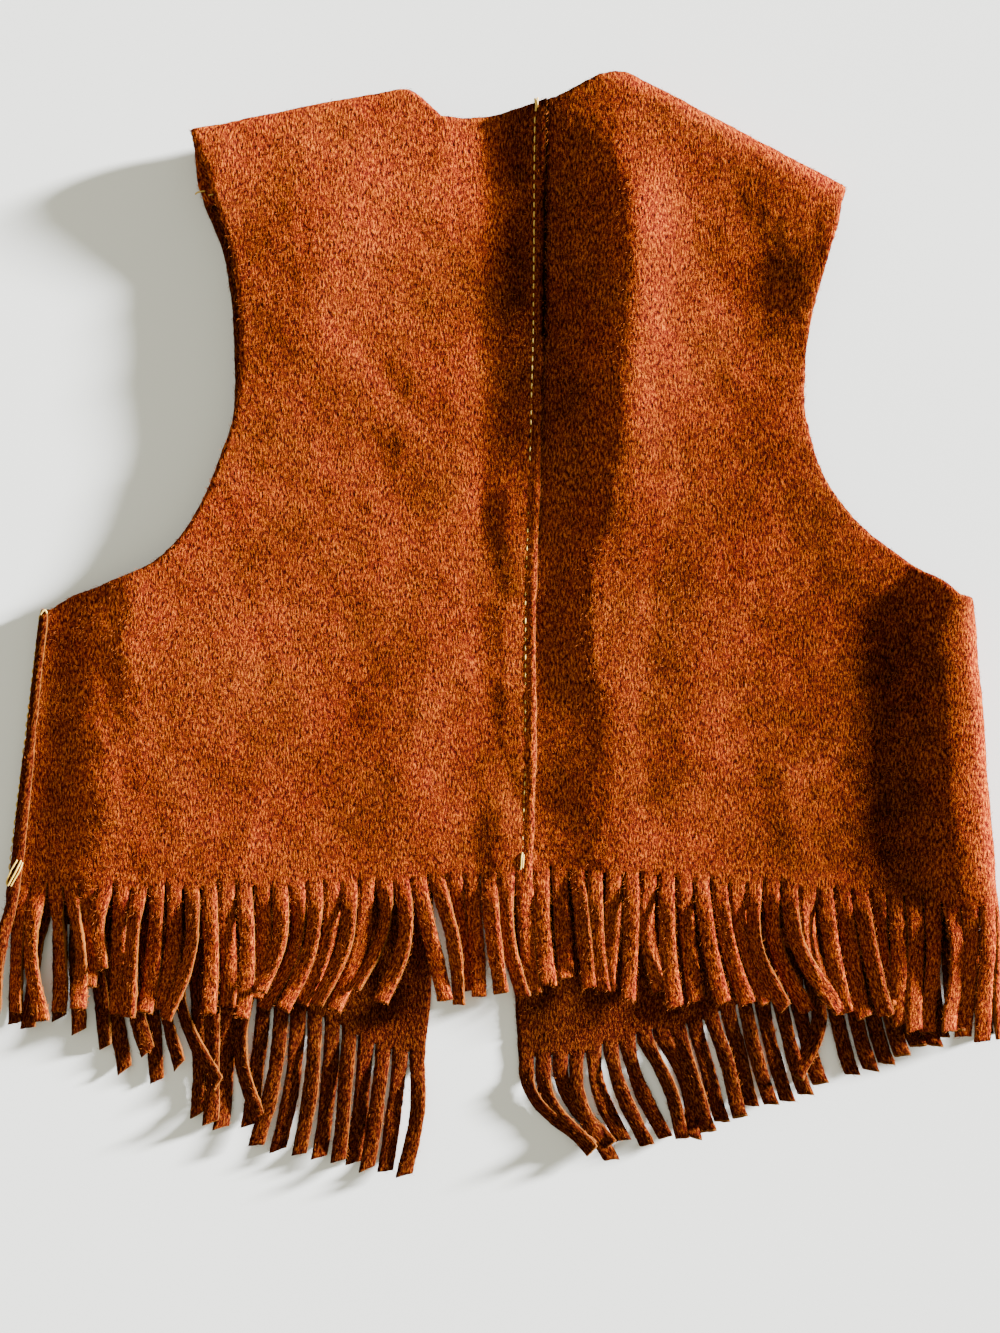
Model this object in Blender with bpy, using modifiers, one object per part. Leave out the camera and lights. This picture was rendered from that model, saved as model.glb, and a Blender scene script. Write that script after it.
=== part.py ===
"""Child's fringed suede vest, laid flat with its back up.

X runs to the right and Y towards the neck, seen from above, and the vest lies on the plane Z = 0.
Each panel is cut flat, laid by a function that bends it round its folds, and given its wall by Solidify.
Sizes are in millimetres here, and the finished meshes are in metres.
"""

import math
import random

import bmesh
import bpy
from mathutils import Matrix, Vector

MM = 0.001
MIDDLE = (-1.56, -1.38)  # what lies above the origin: the middle of the whole vest

# Leather and seams
WALL = 1.6
GAP = 0.35
CENTRE_LAP = 8.0
SHOULDER_SEAM_DEPTH = 20.0
SHOULDER_FLAP_DEPTH = 28.0
SIDE_EDGE_DEPTH = 5.0
SIDE_FLAP_DEPTH = 13.0
WRAP_DEPTH_TOP = 3.0
WRAP_DEPTH_HEM = 5.5
TUCKED_EDGE_DEPTH = 1.6

# Fringe
STRIP = 5.0
STRIP_GAP = 0.45
STRAND_PITCH = 6.9
STRAND_SLIT = 0.7
STRAND_STEPS = 4
STRAND_HOP = 2.3
HOP_BY = 0.3  # shares of a strand's length by which it has risen or sunk
RISE_BY = 0.3
SINK_BY = 0.55
LEAN_CURVE = 1.3
BACK_REST_LEVEL = 5.5
FRONT_REST_LEVEL = 1.2
FRONT_GAP = (-24.0, -6.0)
RIDGE_KEPT = 0.4
LEAN_JITTER = 0.4
LENGTH_JITTER = 1.5

# Heights of the middle of the wall
FRONT_LEVEL = WALL / 2
FLAP_LEVEL = FRONT_LEVEL + WALL + GAP
TUCKED_LEVEL = 3.4
BACK_LEVEL = 9.6
LAP_RISE = WALL + 0.6
LAP_SLOPE = 8.0

# Mesh
BACK_CELL = 14.0
FRONT_CELL = 40.0
CURVE_STEP = 10.0
ARC_STEPS = 5
GRID_REACH = 260.0

SUEDE = (0.42, 0.12, 0.03, 1.0)
SUEDE_ROUGHNESS = 0.95


class Fold:
    """A roll where leather turns under or over. The panel lies to the left of the line from start to end."""

    def __init__(self, start, end, radius, turn, reach):
        self.along = (Vector(end) - Vector(start)).normalized()
        self.length = (Vector(end) - Vector(start)).length
        self.out = Vector((self.along.y, -self.along.x))
        self.start = Vector(start) - self.out * WALL / 2
        self.radius = radius
        self.arc = math.pi * radius
        self.turn = turn
        self.reach = reach

    def measure(self, x, y):
        """How far along the roll a flat point is, and how far past the start of its bend."""
        offset = Vector((x, y)) - self.start
        return offset.dot(self.along), offset.dot(self.out) + self.radius

    def flat(self, s, past):
        """The flat pattern's point at s along the roll and this far past the start of its bend."""
        return self.start + self.along * s + self.out * (past - self.radius)

    def laid(self, s, depth):
        """The point seen from above at s along the roll and this deep inside its outermost line."""
        return self.start + self.along * s - self.out * depth

    def past_for(self, depth):
        """How far past the start of the bend the turned flap is when it lies this deep inside."""
        return self.arc + depth - self.radius

    def nearness(self, x, y):
        """1 on the roll, falling smoothly to 0 at its reach."""
        s, past = self.measure(x, y)
        beyond = max(-s, s - self.length, 0)
        return 1 - ease(math.hypot(max(-past, 0), beyond) / self.reach)

    def bend(self, x, y, level):
        """A flat point at this level, turned round the roll."""
        s, past = self.measure(x, y)
        if past <= 0:
            return Vector((x, y, level))
        angle = min(past / self.radius, math.pi)
        inside = self.radius * (1 - math.sin(angle)) + max(past - self.arc, 0)
        return Vector((*self.laid(s, inside), level + self.turn * self.radius * (1 - math.cos(angle))))


LEFT_SHOULDER = Fold(start=(-30.0, 216.4), end=(-124.0, 198.2), radius=6.5, turn=-1, reach=44)
RIGHT_SHOULDER = Fold(start=(135.8, 174.9), end=(42.1, 224.5), radius=8.0, turn=-1, reach=46)
RIGHT_SIDE = Fold(start=(199.1, -125.0), end=(187.9, 14.0), radius=6.0, turn=-1, reach=22)
LEFT_SIDE = Fold(start=(-185.8, 8.6), end=(-201.3, -120.0), radius=2.6, turn=1, reach=36)

# Edges seen from above, as x, y
CENTRE_SEAM = [
    (12.0, -130.0), (12.0, -99.0), (13.6, -57.0), (13.6, 11.0), (15.2, 59.0), (16.8, 120.0), (17.4, 207.6),
]
SEAM_START = Vector(CENTRE_SEAM[1])
SEAM_OUT = Vector((CENTRE_SEAM[-1][1] - SEAM_START.y, SEAM_START.x - CENTRE_SEAM[-1][0])).normalized()
BACK_HEM = [
    (-230, -105.4), (-184, -104.6), (-80, -103.0), (-20, -99.4), (32, -96.8),
    (60, -99.0), (100, -103.0), (140, -105.0), (172, -109.4), (194, -112.6), (240, -113.6),
]
NECK_LEFT = [(0.0, 203.2), (-14.0, 201.4), (-24.0, 201.8)]
NECK_RIGHT = [(30.6, 213.2), (22.8, 209.2), (17.0, 207.6)]
LEFT_ARMHOLE = [
    (-116.4, 180.0), (-112.0, 163.0), (-107.0, 144.0), (-104.4, 118.0), (-106.0, 90.0),
    (-113.0, 66.0), (-124.4, 42.0), (-139.0, 26.2), (-158.0, 17.6), (-172.0, 13.0),
]
RIGHT_ARMHOLE = [
    (173.6, 19.4), (162.4, 25.8), (142.2, 41.6), (128.2, 60.4), (121.2, 84.0),
    (121.0, 102.0), (124.6, 129.0), (128.6, 145.0), (132.0, 158.0),
]
FRONT_LEFT_ARMHOLE = [
    (-119.6, 168.8), (-112.6, 150.4), (-108.6, 123.0), (-108.6, 88.0), (-114.0, 66.0),
    (-125.4, 43.0), (-140.0, 27.0), (-158.0, 17.0), (-172.0, 11.6),
]
FRONT_RIGHT_ARMHOLE = [
    (180.0, 8.0), (163.0, 23.0), (140.0, 41.0), (125.0, 60.0), (119.0, 84.0),
    (118.6, 103.0), (120.6, 130.0), (123.0, 148.0),
]
FRONT_LEFT_EDGE = [(-28.8, -149.0), (-27.4, -60.0), (-28.0, 30.0), (-33.0, 120.0), (-39.6, 180.0)]
FRONT_RIGHT_EDGE = [(47.0, 186.0), (32.0, 130.0), (12.0, 50.0), (5.4, -30.0), (4.4, -130.0)]
FRONT_LEFT_HEM = [(-240, -106.0), (-200, -111.0), (-150, -129.6), (-90, -153.0), (-31, -176.0), (0, -188.0)]
FRONT_RIGHT_HEM = [(0, -177.6), (40, -170.4), (80, -158.2), (140, -137.0), (192, -119.0), (220, -110.0)]

# Soft folds of the back: each a ridge or a trough along a line
BACK_FOLDS = [
    {"name": "ridge beside the seam", "start": (54, 200), "end": (46, -90), "width": 17, "height": 8.0},
    {"name": "crest at the neck", "start": (56, 214), "end": (52, 150), "width": 15, "height": 3.0},
    {"name": "valley of the seam", "start": (4, 190), "end": (4, -70), "width": 15, "height": -1.6},
    {"name": "valley before the right side", "start": (146, 10), "end": (152, -90), "width": 19, "height": -2.0},
    {"name": "roll at the right side", "start": (180, -10), "end": (184, -100), "width": 13, "height": 3.2},
    {"name": "dip under the right shoulder", "start": (92, 132), "end": (122, 124), "width": 15, "height": -2.6},
    {"name": "swell of the left shoulder", "start": (-70, 180), "end": (-78, 110), "width": 24, "height": 3.2},
    {"name": "swell of the left side", "start": (-120, -20), "end": (-130, -90), "width": 26, "height": 2.6},
    {"name": "slant across the left back", "start": (-74, 92), "end": (-26, 40), "width": 15, "height": -1.6},
    {"name": "swell beside the seam", "start": (-34, -20), "end": (-40, -80), "width": 18, "height": 1.8},
]

# Lengths of the strands, as root x, length
BACK_LENGTHS = [(-204, 53), (-60, 51), (100, 50), (170, 52), (240, 54)]
FRONT_LEFT_LENGTHS = [(-240, 45), (-200, 46), (-150, 53), (-70, 54), (-50, 51), (-31, 46)]
FRONT_RIGHT_LENGTHS = [(0, 40), (20, 42), (60, 44), (120, 42), (220, 41)]

# How far sideways the tip of a strand hangs from its root, as root x, lean
BACK_LEAN = [
    (-204, 1), (-176, 2), (-150, -1), (-120, -12), (-106, -3), (-98, -2), (-70, -13), (-46, -13),
    (-38, -2), (-32, 11), (-16, 5), (0, 3), (26, 7), (44, 2), (52, 2), (62, 10), (90, 12),
    (118, 18), (136, 17), (156, 8), (172, 2), (190, -1), (240, 0),
]
FRONT_LEFT_LEAN = [
    (-240, -6), (-198, -6), (-176, -3), (-150, -3), (-120, -5), (-90, -10), (-68, -10), (-48, -4), (0, -3),
]
FRONT_RIGHT_LEAN = [(0, 22), (12, 18), (40, 7), (60, 5), (90, 8), (120, 5), (186, 1), (220, 0)]


def ease(share):
    """A smooth step from 0 to 1, level at both ends."""
    share = min(max(share, 0.0), 1.0)
    return share * share * (3 - 2 * share)


def read_table(rows, x):
    """The second column at x, with straight lines between the rows."""
    for (x0, y0), (x1, y1) in zip(rows, rows[1:]):
        if x <= x1:
            return y0 + (y1 - y0) * max(x - x0, 0) / (x1 - x0)
    return rows[-1][1]


def smooth_line(points):
    """Points about a curve step apart on a smooth curve through these points."""
    ends = [Vector(p) for p in points]
    ends = [2 * ends[0] - ends[1], *ends, 2 * ends[-1] - ends[-2]]
    line = []
    for before, here, there, after in zip(ends, ends[1:], ends[2:], ends[3:]):
        steps = max(1, round((there - here).length / CURVE_STEP))
        for t in (k / steps for k in range(steps)):
            bend = 2 * before - 5 * here + 4 * there - after
            twist = 3 * here - before - 3 * there + after
            line.append(0.5 * (2 * here + t * (there - before) + t * t * bend + t ** 3 * twist))
    return line + [ends[-2]]


def ridge(fold, x, y):
    """How much a soft fold lifts the point."""
    a, b, p = Vector(fold["start"]), Vector(fold["end"]), Vector((x, y))
    share = min(max((p - a).dot(b - a) / (b - a).length_squared, 0.0), 1.0)
    distance = (p - a.lerp(b, share)).length
    return fold["height"] * math.exp(-((distance / fold["width"]) ** 2))


def back_level(x, y):
    """Height of the back's leather at a flat point, before it turns round a fold."""
    level = BACK_LEVEL + sum(ridge(fold, x, y) for fold in BACK_FOLDS)
    for fold in (LEFT_SHOULDER, RIGHT_SHOULDER, RIGHT_SIDE):
        near = fold.nearness(x, y)
        level += (FLAP_LEVEL + 2 * fold.radius - level) * near
    near = LEFT_SIDE.nearness(x, y)
    return level + (TUCKED_LEVEL - level) * near


def centre_x(y):
    """The raw edge of the centre seam's upper layer."""
    return read_table([(py, px) for px, py in CENTRE_SEAM], y)


def past_lap(x, y):
    """How far right of the centre seam's straight line a point is."""
    return (Vector((x, y)) - SEAM_START).dot(SEAM_OUT)


def place_back_left(x, y):
    lap = LAP_RISE * ease((past_lap(x, y) + CENTRE_LAP + 2 + LAP_SLOPE) / LAP_SLOPE)
    return LEFT_SHOULDER.bend(x, y, back_level(x, y) + lap)


def place_back_right(x, y):
    fold = RIGHT_SHOULDER if y > 100 else RIGHT_SIDE
    return fold.bend(x, y, back_level(x, y))


def place_front_left(x, y):
    return LEFT_SIDE.bend(x, y, FRONT_LEVEL)


def place_front_right(x, y):
    return Vector((x, y, FRONT_LEVEL))


def hem_points(hem, start, end):
    """The panel's lower edge from x start to x end, just above the fringe's strip."""
    steps = round((end - start) / CURVE_STEP)
    xs = [start + (end - start) * k / steps for k in range(steps + 1)]
    return [Vector((x, read_table(hem, x) + STRIP + STRIP_GAP)) for x in xs]


def centre_points(bottom, top, inset):
    """A centre edge from the hem up to the neck, this far to the left of the seam's raw edge."""
    steps = round((top - bottom) / CURVE_STEP)
    ys = [bottom + (top - bottom) * k / steps for k in range(1, steps)]
    return [Vector((centre_x(y) - inset, y)) for y in ys]


def flap_points(fold, rows):
    """Flat points where an edge crosses a fold, from rows of: along it, past the start of its bend."""
    return [fold.flat(s, past) for s, past in rows]


BACK_HEM_LINE = smooth_line(BACK_HEM)
FRONT_LEFT_HEM_LINE = smooth_line(FRONT_LEFT_HEM)
FRONT_RIGHT_HEM_LINE = smooth_line(FRONT_RIGHT_HEM)
BACK_LEFT_EDGE_X = LEFT_SIDE.laid(108, TUCKED_EDGE_DEPTH).x
CENTRE_HEM_X = centre_x(-100)
SIDE_FLAP_X = RIGHT_SIDE.flat(16, RIGHT_SIDE.past_for(SIDE_FLAP_DEPTH)).x
WRAP_HEM_X = LEFT_SIDE.flat(112, LEFT_SIDE.past_for(WRAP_DEPTH_HEM)).x


def back_left_outline():
    hem = hem_points(BACK_HEM_LINE, BACK_LEFT_EDGE_X, CENTRE_HEM_X)
    shoulder = [(3.0, 0.0), (94.5, 0.0)]
    side = [LEFT_SIDE.laid(s, TUCKED_EDGE_DEPTH) for s in (2, 28, 55, 82)]
    return [
        *hem, *centre_points(hem[-1].y, CENTRE_SEAM[-1][1], 0), *smooth_line([CENTRE_SEAM[-1], *NECK_LEFT]),
        *flap_points(LEFT_SHOULDER, shoulder), *smooth_line(LEFT_ARMHOLE), *side,
    ]


def left_shoulder_outline():
    """The end of the left back that turns to the front, parted from its panel where the turn starts."""
    fold = LEFT_SHOULDER
    return flap_points(fold, [
        (3.0, GAP), (12.4, fold.arc / 2), (15.0, fold.arc), (16.0, fold.past_for(SHOULDER_FLAP_DEPTH)),
        (98.5, fold.past_for(SHOULDER_FLAP_DEPTH)), (98.5, fold.past_for(SHOULDER_SEAM_DEPTH)),
        (97.0, fold.arc), (95.9, fold.arc / 2), (94.5, GAP),
    ])


def back_right_outline():
    hem = hem_points(BACK_HEM_LINE, CENTRE_HEM_X - CENTRE_LAP, SIDE_FLAP_X)
    side = RIGHT_SIDE
    side_flap = [
        (35.0, side.past_for(SIDE_FLAP_DEPTH)), (130.0, side.past_for(SIDE_FLAP_DEPTH)),
        (134.0, side.arc), (136.0, side.arc / 2), (139.0, 0.0),
    ]
    shoulder = [(-2.0, 0.0), (106.0, 0.0)]
    neck = [*NECK_RIGHT, (CENTRE_SEAM[-1][0] - CENTRE_LAP, 206.0)]
    return [
        *hem, *flap_points(side, side_flap), *smooth_line(RIGHT_ARMHOLE), *flap_points(RIGHT_SHOULDER, shoulder),
        *smooth_line(neck), *reversed(centre_points(hem[0].y, 206.0, CENTRE_LAP)),
    ]


def right_shoulder_outline():
    """The end of the right back that turns to the front, parted from its panel where the turn starts."""
    fold = RIGHT_SHOULDER
    return flap_points(fold, [
        (-2.0, GAP), (0.0, fold.arc / 2), (2.0, fold.arc), (6.0, fold.past_for(SHOULDER_FLAP_DEPTH)),
        (86.0, fold.past_for(SHOULDER_FLAP_DEPTH)), (89.0, fold.arc),
        (92.5, fold.arc / 2), (99.8, 5.4), (105.6, GAP),
    ])


def front_left_outline():
    hem = hem_points(FRONT_LEFT_HEM_LINE, WRAP_HEM_X, -31.2)
    side = LEFT_SIDE
    wrap = [
        (1.0, 0.0), (2.0, side.arc), (3.0, side.past_for(WRAP_DEPTH_TOP)), (100.0, side.past_for(WRAP_DEPTH_HEM)),
    ]
    return [
        *hem, *smooth_line(FRONT_LEFT_EDGE), LEFT_SHOULDER.laid(15, SHOULDER_SEAM_DEPTH),
        LEFT_SHOULDER.laid(98, SHOULDER_SEAM_DEPTH), *smooth_line(FRONT_LEFT_ARMHOLE), *flap_points(side, wrap),
    ]


def front_right_outline():
    hem = hem_points(FRONT_RIGHT_HEM_LINE, 6.8, RIGHT_SIDE.laid(15, SIDE_EDGE_DEPTH).x)
    side = [RIGHT_SIDE.laid(s, SIDE_EDGE_DEPTH) for s in (45, 90, 127)]
    return [
        *hem, *side, *smooth_line(FRONT_RIGHT_ARMHOLE), RIGHT_SHOULDER.laid(4, SHOULDER_SEAM_DEPTH),
        RIGHT_SHOULDER.laid(88, SHOULDER_SEAM_DEPTH), *smooth_line(FRONT_RIGHT_EDGE),
    ]


def clear_scene():
    for thing in list(bpy.data.objects):
        bpy.data.objects.remove(thing, do_unlink=True)
    collection = bpy.data.collections.new("western_vest")
    bpy.context.scene.collection.children.link(collection)
    return collection


def suede(name):
    material = bpy.data.materials.new(f"{name}_suede")
    material.use_nodes = True
    shader = material.node_tree.nodes["Principled BSDF"]
    shader.inputs["Base Color"].default_value = SUEDE
    shader.inputs["Roughness"].default_value = SUEDE_ROUGHNESS
    shader.inputs["Metallic"].default_value = 0.0
    return material


def finish_piece(collection, name, bm):
    """Turns a surface in millimetres into an object in metres with the leather's wall."""
    bmesh.ops.transform(
        bm, matrix=Matrix.Scale(MM, 4) @ Matrix.Translation((-MIDDLE[0], -MIDDLE[1], 0)), verts=bm.verts
    )
    mesh = bpy.data.meshes.new(name)
    bm.to_mesh(mesh)
    bm.free()
    mesh.shade_smooth()
    mesh.materials.append(suede(name))
    piece = bpy.data.objects.new(name, mesh)
    collection.objects.link(piece)
    wall = piece.modifiers.new("Wall", "SOLIDIFY")
    wall.thickness = WALL * MM
    wall.offset = 0.0
    wall.use_even_offset = True
    return piece


def seam_cuts(insets):
    """Cutting planes along the centre seam, these far to the left of its straight line."""
    return [((*(SEAM_START - SEAM_OUT * inset), 0), (*SEAM_OUT, 0)) for inset in insets]


def fold_cuts(fold):
    """Cutting planes along a fold, so that its bend comes out round."""
    return [((*fold.flat(0, fold.arc * k / ARC_STEPS), 0), (*fold.out, 0)) for k in range(ARC_STEPS + 1)]


def make_panel(collection, name, outline, place, cell, more_cuts=()):
    """A flat outline filled as one face, cut into cells and along its folds, then laid."""
    bm = bmesh.new()
    bm.faces.new([bm.verts.new((*point, 0)) for point in outline])
    lines = range(-int(GRID_REACH / cell), int(GRID_REACH / cell) + 1)
    cuts = [((k * cell, 0, 0), (1, 0, 0)) for k in lines] + [((0, k * cell, 0), (0, 1, 0)) for k in lines]
    for point, normal in [*cuts, *more_cuts]:
        everything = [*bm.verts, *bm.edges, *bm.faces]
        bmesh.ops.bisect_plane(bm, geom=everything, dist=0.01, plane_co=point, plane_no=normal)
    bmesh.ops.remove_doubles(bm, verts=bm.verts, dist=0.05)
    bmesh.ops.triangulate(bm, faces=bm.faces)
    for vert in bm.verts:
        vert.co = place(vert.co.x, vert.co.y)
    finish_piece(collection, name, bm)


def hang_strand(bm, root, left, right, strand):
    """Extrudes one strand from its root edge on the strip, a step at a time."""
    middle = (left.co + right.co) / 2
    sides = [left.co - middle, right.co - middle]
    fall = math.sqrt(strand["length"] ** 2 - strand["lean"] ** 2)
    edge = root
    for t in (k / STRAND_STEPS for k in range(1, STRAND_STEPS + 1)):
        made = bmesh.ops.extrude_edge_only(bm, edges=[edge])["geom"]
        edge = next(item for item in made if isinstance(item, bmesh.types.BMEdge))
        ends = [item for item in made if isinstance(item, bmesh.types.BMVert)]
        ends.sort(key=lambda vert: (vert.co - left.co).length)
        sag = strand["drop"] * ease(t / strand["drop_by"]) + strand["hop"] * ease(t / HOP_BY)
        centre = middle + Vector((strand["lean"] * t ** LEAN_CURVE, -fall * t, sag))
        for vert, side in zip(ends, sides):
            vert.co = centre + Vector((side.x, side.y, side.z * (1 - t * strand["flatten"])))
        left, right = ends


def make_fringe(collection, name, place, hem, span, lengths, leans, rest_level, seed, fold=None):
    """A strip along the hem with strands hanging from it. Every second strand lies a little higher."""
    draw = random.Random(seed)
    pairs = round((span[1] - span[0]) / (2 * STRAND_PITCH))
    count = 2 * pairs
    pitch = (span[1] - span[0] + STRAND_SLIT) / count
    columns = []
    for k in range(count):
        columns += [span[0] + k * pitch, span[0] + (k + 1) * pitch - STRAND_SLIT]
    bm = bmesh.new()
    bmesh.ops.create_grid(bm, x_segments=len(columns) - 1, y_segments=1, size=0.5)
    grid = {}
    for vert in bm.verts:
        column = round((vert.co.x + 0.5) * (len(columns) - 1))
        row = int(vert.co.y > 0)
        grid[column, row] = vert
    for (column, row), vert in grid.items():
        x = columns[column]
        vert.co = place(x, read_table(hem, x) + row * STRIP)
    for k in range(count):
        left, right = grid[2 * k, 0], grid[2 * k + 1, 0]
        x = (columns[2 * k] + columns[2 * k + 1]) / 2
        level = (left.co.z + right.co.z) / 2
        rolled = fold is not None and fold.measure(x, read_table(hem, x))[1] > -1
        drop = rest_level(x) - level + RIDGE_KEPT * max(level - BACK_LEVEL, 0)
        strand = {
            "lean": 0 if rolled else read_table(leans, x) + draw.uniform(-LEAN_JITTER, LEAN_JITTER),
            "length": read_table(lengths, x) - draw.uniform(0, LENGTH_JITTER),
            "drop": 0 if rolled else drop,
            "drop_by": SINK_BY if drop < 0 else RISE_BY,
            "hop": STRAND_HOP if k % 2 and not rolled else 0,
            "flatten": 0 if rolled else 1,
        }
        root = bm.edges.get((left, right))
        hang_strand(bm, root, left, right, strand)
    bmesh.ops.recalc_face_normals(bm, faces=bm.faces)
    finish_piece(collection, name, bm)


def back_rest_level(x):
    """Strands of the back lie over the front's, and sink where the fronts leave the table bare."""
    return FRONT_REST_LEVEL if FRONT_GAP[0] < x < FRONT_GAP[1] else BACK_REST_LEVEL


def front_rest_level(x):
    """Strands of the fronts lie just above the table, wherever their roots are."""
    return FRONT_REST_LEVEL


def make_vest():
    vest = clear_scene()
    lap_end = CENTRE_LAP + 2
    lap_cuts = seam_cuts([lap_end, lap_end + LAP_SLOPE / 2, lap_end + LAP_SLOPE])
    make_panel(vest, "back_left", back_left_outline(), place_back_left, BACK_CELL, lap_cuts)
    make_panel(vest, "back_right", back_right_outline(), place_back_right, BACK_CELL, fold_cuts(RIGHT_SIDE))
    for name, outline, place, fold in (
        ("back_left_shoulder", left_shoulder_outline(), place_back_left, LEFT_SHOULDER),
        ("back_right_shoulder", right_shoulder_outline(), place_back_right, RIGHT_SHOULDER),
    ):
        make_panel(vest, name, outline, place, BACK_CELL, fold_cuts(fold))
    make_panel(vest, "front_left", front_left_outline(), place_front_left, FRONT_CELL, fold_cuts(LEFT_SIDE))
    make_panel(vest, "front_right", front_right_outline(), place_front_right, FRONT_CELL)
    make_fringe(
        vest, "back_left_fringe", place_back_left, BACK_HEM_LINE, (BACK_LEFT_EDGE_X, CENTRE_HEM_X),
        BACK_LENGTHS, BACK_LEAN, back_rest_level, seed=3,
    )
    under_lap = CENTRE_HEM_X - STRAND_PITCH + STRAND_SLIT
    make_fringe(
        vest, "back_right_fringe", place_back_right, BACK_HEM_LINE, (under_lap, SIDE_FLAP_X),
        BACK_LENGTHS, BACK_LEAN, back_rest_level, seed=4, fold=RIGHT_SIDE,
    )
    make_fringe(
        vest, "front_left_fringe", place_front_left, FRONT_LEFT_HEM_LINE, (LEFT_SIDE.flat(112, 0).x, -31.2),
        FRONT_LEFT_LENGTHS, FRONT_LEFT_LEAN, front_rest_level, seed=5,
    )
    make_fringe(
        vest, "front_right_fringe", place_front_right, FRONT_RIGHT_HEM_LINE, (6.8, 183.0),
        FRONT_RIGHT_LENGTHS, FRONT_RIGHT_LEAN, front_rest_level, seed=6,
    )


make_vest()
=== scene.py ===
import math
import random

import bmesh
import bpy
import numpy as np
from mathutils import Matrix, Vector, kdtree, noise
from mathutils.geometry import delaunay_2d_cdt


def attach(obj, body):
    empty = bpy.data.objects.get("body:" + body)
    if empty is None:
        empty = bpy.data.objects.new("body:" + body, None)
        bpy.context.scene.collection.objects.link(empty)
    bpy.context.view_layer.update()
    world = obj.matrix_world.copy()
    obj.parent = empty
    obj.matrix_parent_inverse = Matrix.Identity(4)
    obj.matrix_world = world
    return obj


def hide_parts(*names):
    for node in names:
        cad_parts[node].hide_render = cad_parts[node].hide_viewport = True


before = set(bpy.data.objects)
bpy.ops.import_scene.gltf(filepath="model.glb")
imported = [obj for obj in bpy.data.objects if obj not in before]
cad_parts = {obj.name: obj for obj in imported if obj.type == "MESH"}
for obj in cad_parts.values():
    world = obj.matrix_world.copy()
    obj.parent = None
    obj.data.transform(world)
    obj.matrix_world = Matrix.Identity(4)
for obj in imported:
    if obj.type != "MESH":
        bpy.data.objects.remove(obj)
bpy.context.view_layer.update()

print("vest: the packed panels are loaded")

# Sizes are in millimetres, as on the cutting table, until a finished mesh is scaled to metres.
# X runs to the right and Y towards the neck, seen from above.
mm = 0.001
tiny = 1e-6  # keeps a length that is divided by from being zero
middle = np.array([-1.56, -1.38])  # what lies above the origin: the middle of the whole vest

leather = {
    "wall": 1.6,
    "gap": 0.35,
    "pointSpacing": 1.4,  # between the points of a panel's mesh
    "edgeClearance": 0.72,  # of a point spacing, from the cut edge to the first points inside
    "edgeThickness": 0.6,  # share of the wall that is left at a cut edge
    "shortestEdge": 0.05,  # a shorter piece of an outline is left out
    "stepSlack": 0.2,  # share of a step by which a piece may be longer
    "mergeWithin": 1e-4,
    "cutShift": 300,  # moves the flat cut clear of zero on its UV map
    "seed": 7,
}

nap = {  # what lifts and sinks the surface itself
    "lumpSize": 3.6,
    "lumpHeight": 0.2,
    "clumpSize": 1.6,
    "clumpHeight": 0.14,
    "swellSize": 17.0,
    "swellHeight": 0.55,
    "edgeFray": 0.25,
    "frayShift": (9, 4, 2),  # to another part of the noise
    "sinkLimit": 0.1,  # of the floor's clearance
}

levels = {  # heights of the middle of the wall
    "front": 0.8,
    "tucked": 3.4,
    "back": 9.6,
    "lapRise": 2.2,
    "lapSlope": 15.0,
    "backStrands": 5.5,
    "frontStrands": 1.2,
    "floorClearance": 0.12,
}
levels["flap"] = levels["front"] + leather["wall"] + leather["gap"]

seams = {
    "centreLap": 8.0,
    "shoulderEdge": 20.0,  # how deep the front's edge lies inside the shoulder
    "shoulderFlap": 28.0,
    "sideEdge": 5.0,
    "sideFlap": 13.0,
    "wrapTop": 3.0,
    "wrapHem": 5.5,
    "wrapRow": 0.62,  # how far round the roll its stitches lie
    "tuckedEdge": 1.6,
    "lapEase": 2,  # how far beside the lap the upper panel lies level
    "rollsApart": 100,  # above it a back is rolled at the shoulder, below it at the side
    "calmFrom": 12,  # the fronts' folds fade out beside the left side's roll
    "calmOver": 14,
    "underFoot": -99.0,  # ends of the hidden edge under the centre lap
    "underTop": 206.0,
}

fringe = {
    "pitch": 6.9,
    "slit": 0.5,
    "slitJitter": 2.4,  # how far a slit may start above its row
    "slitRange": (-0.4, 1),  # shares of that
    "widthJitter": 0.45,
    "hop": 2.3,  # how much higher an upper strand lies
    "hopBy": 0.3,
    "riseBy": 0.3,
    "sinkBy": 0.85,
    "leanCurve": 1.3,
    "twistBy": 0.3,  # share of a strand by which it has its middle twist
    "twistShare": 0.62,
    "halfway": 0.5,
    "bowPower": 1.2,
    "waves": 6,
    "rolledWaves": 5,
    "rolledFrom": -1,  # a strand that starts this near a roll follows it
    "reach": 0.56,  # of a pitch, from a strand's middle to its last points
    "probe": 0.5,  # a short step that shows a direction
    "curlLength": 10.0,  # how much of a tip curls up
    "rootBlend": 7.0,  # how far down a strand still follows the panel's own shape
    "ridgeKept": 0.4,
    "bareFloor": (-24.0, -6.0),  # between the fronts the back's strands sink to the table
    "waveHeight": 0.5,
    "tipSlope": 0.9,
}


def ease(share):
    share = np.clip(share, 0.0, 1.0)
    return share * share * (3 - 2 * share)


def readTable(rows, x):
    return np.interp(x, [row[0] for row in rows], [row[1] for row in rows])


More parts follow.
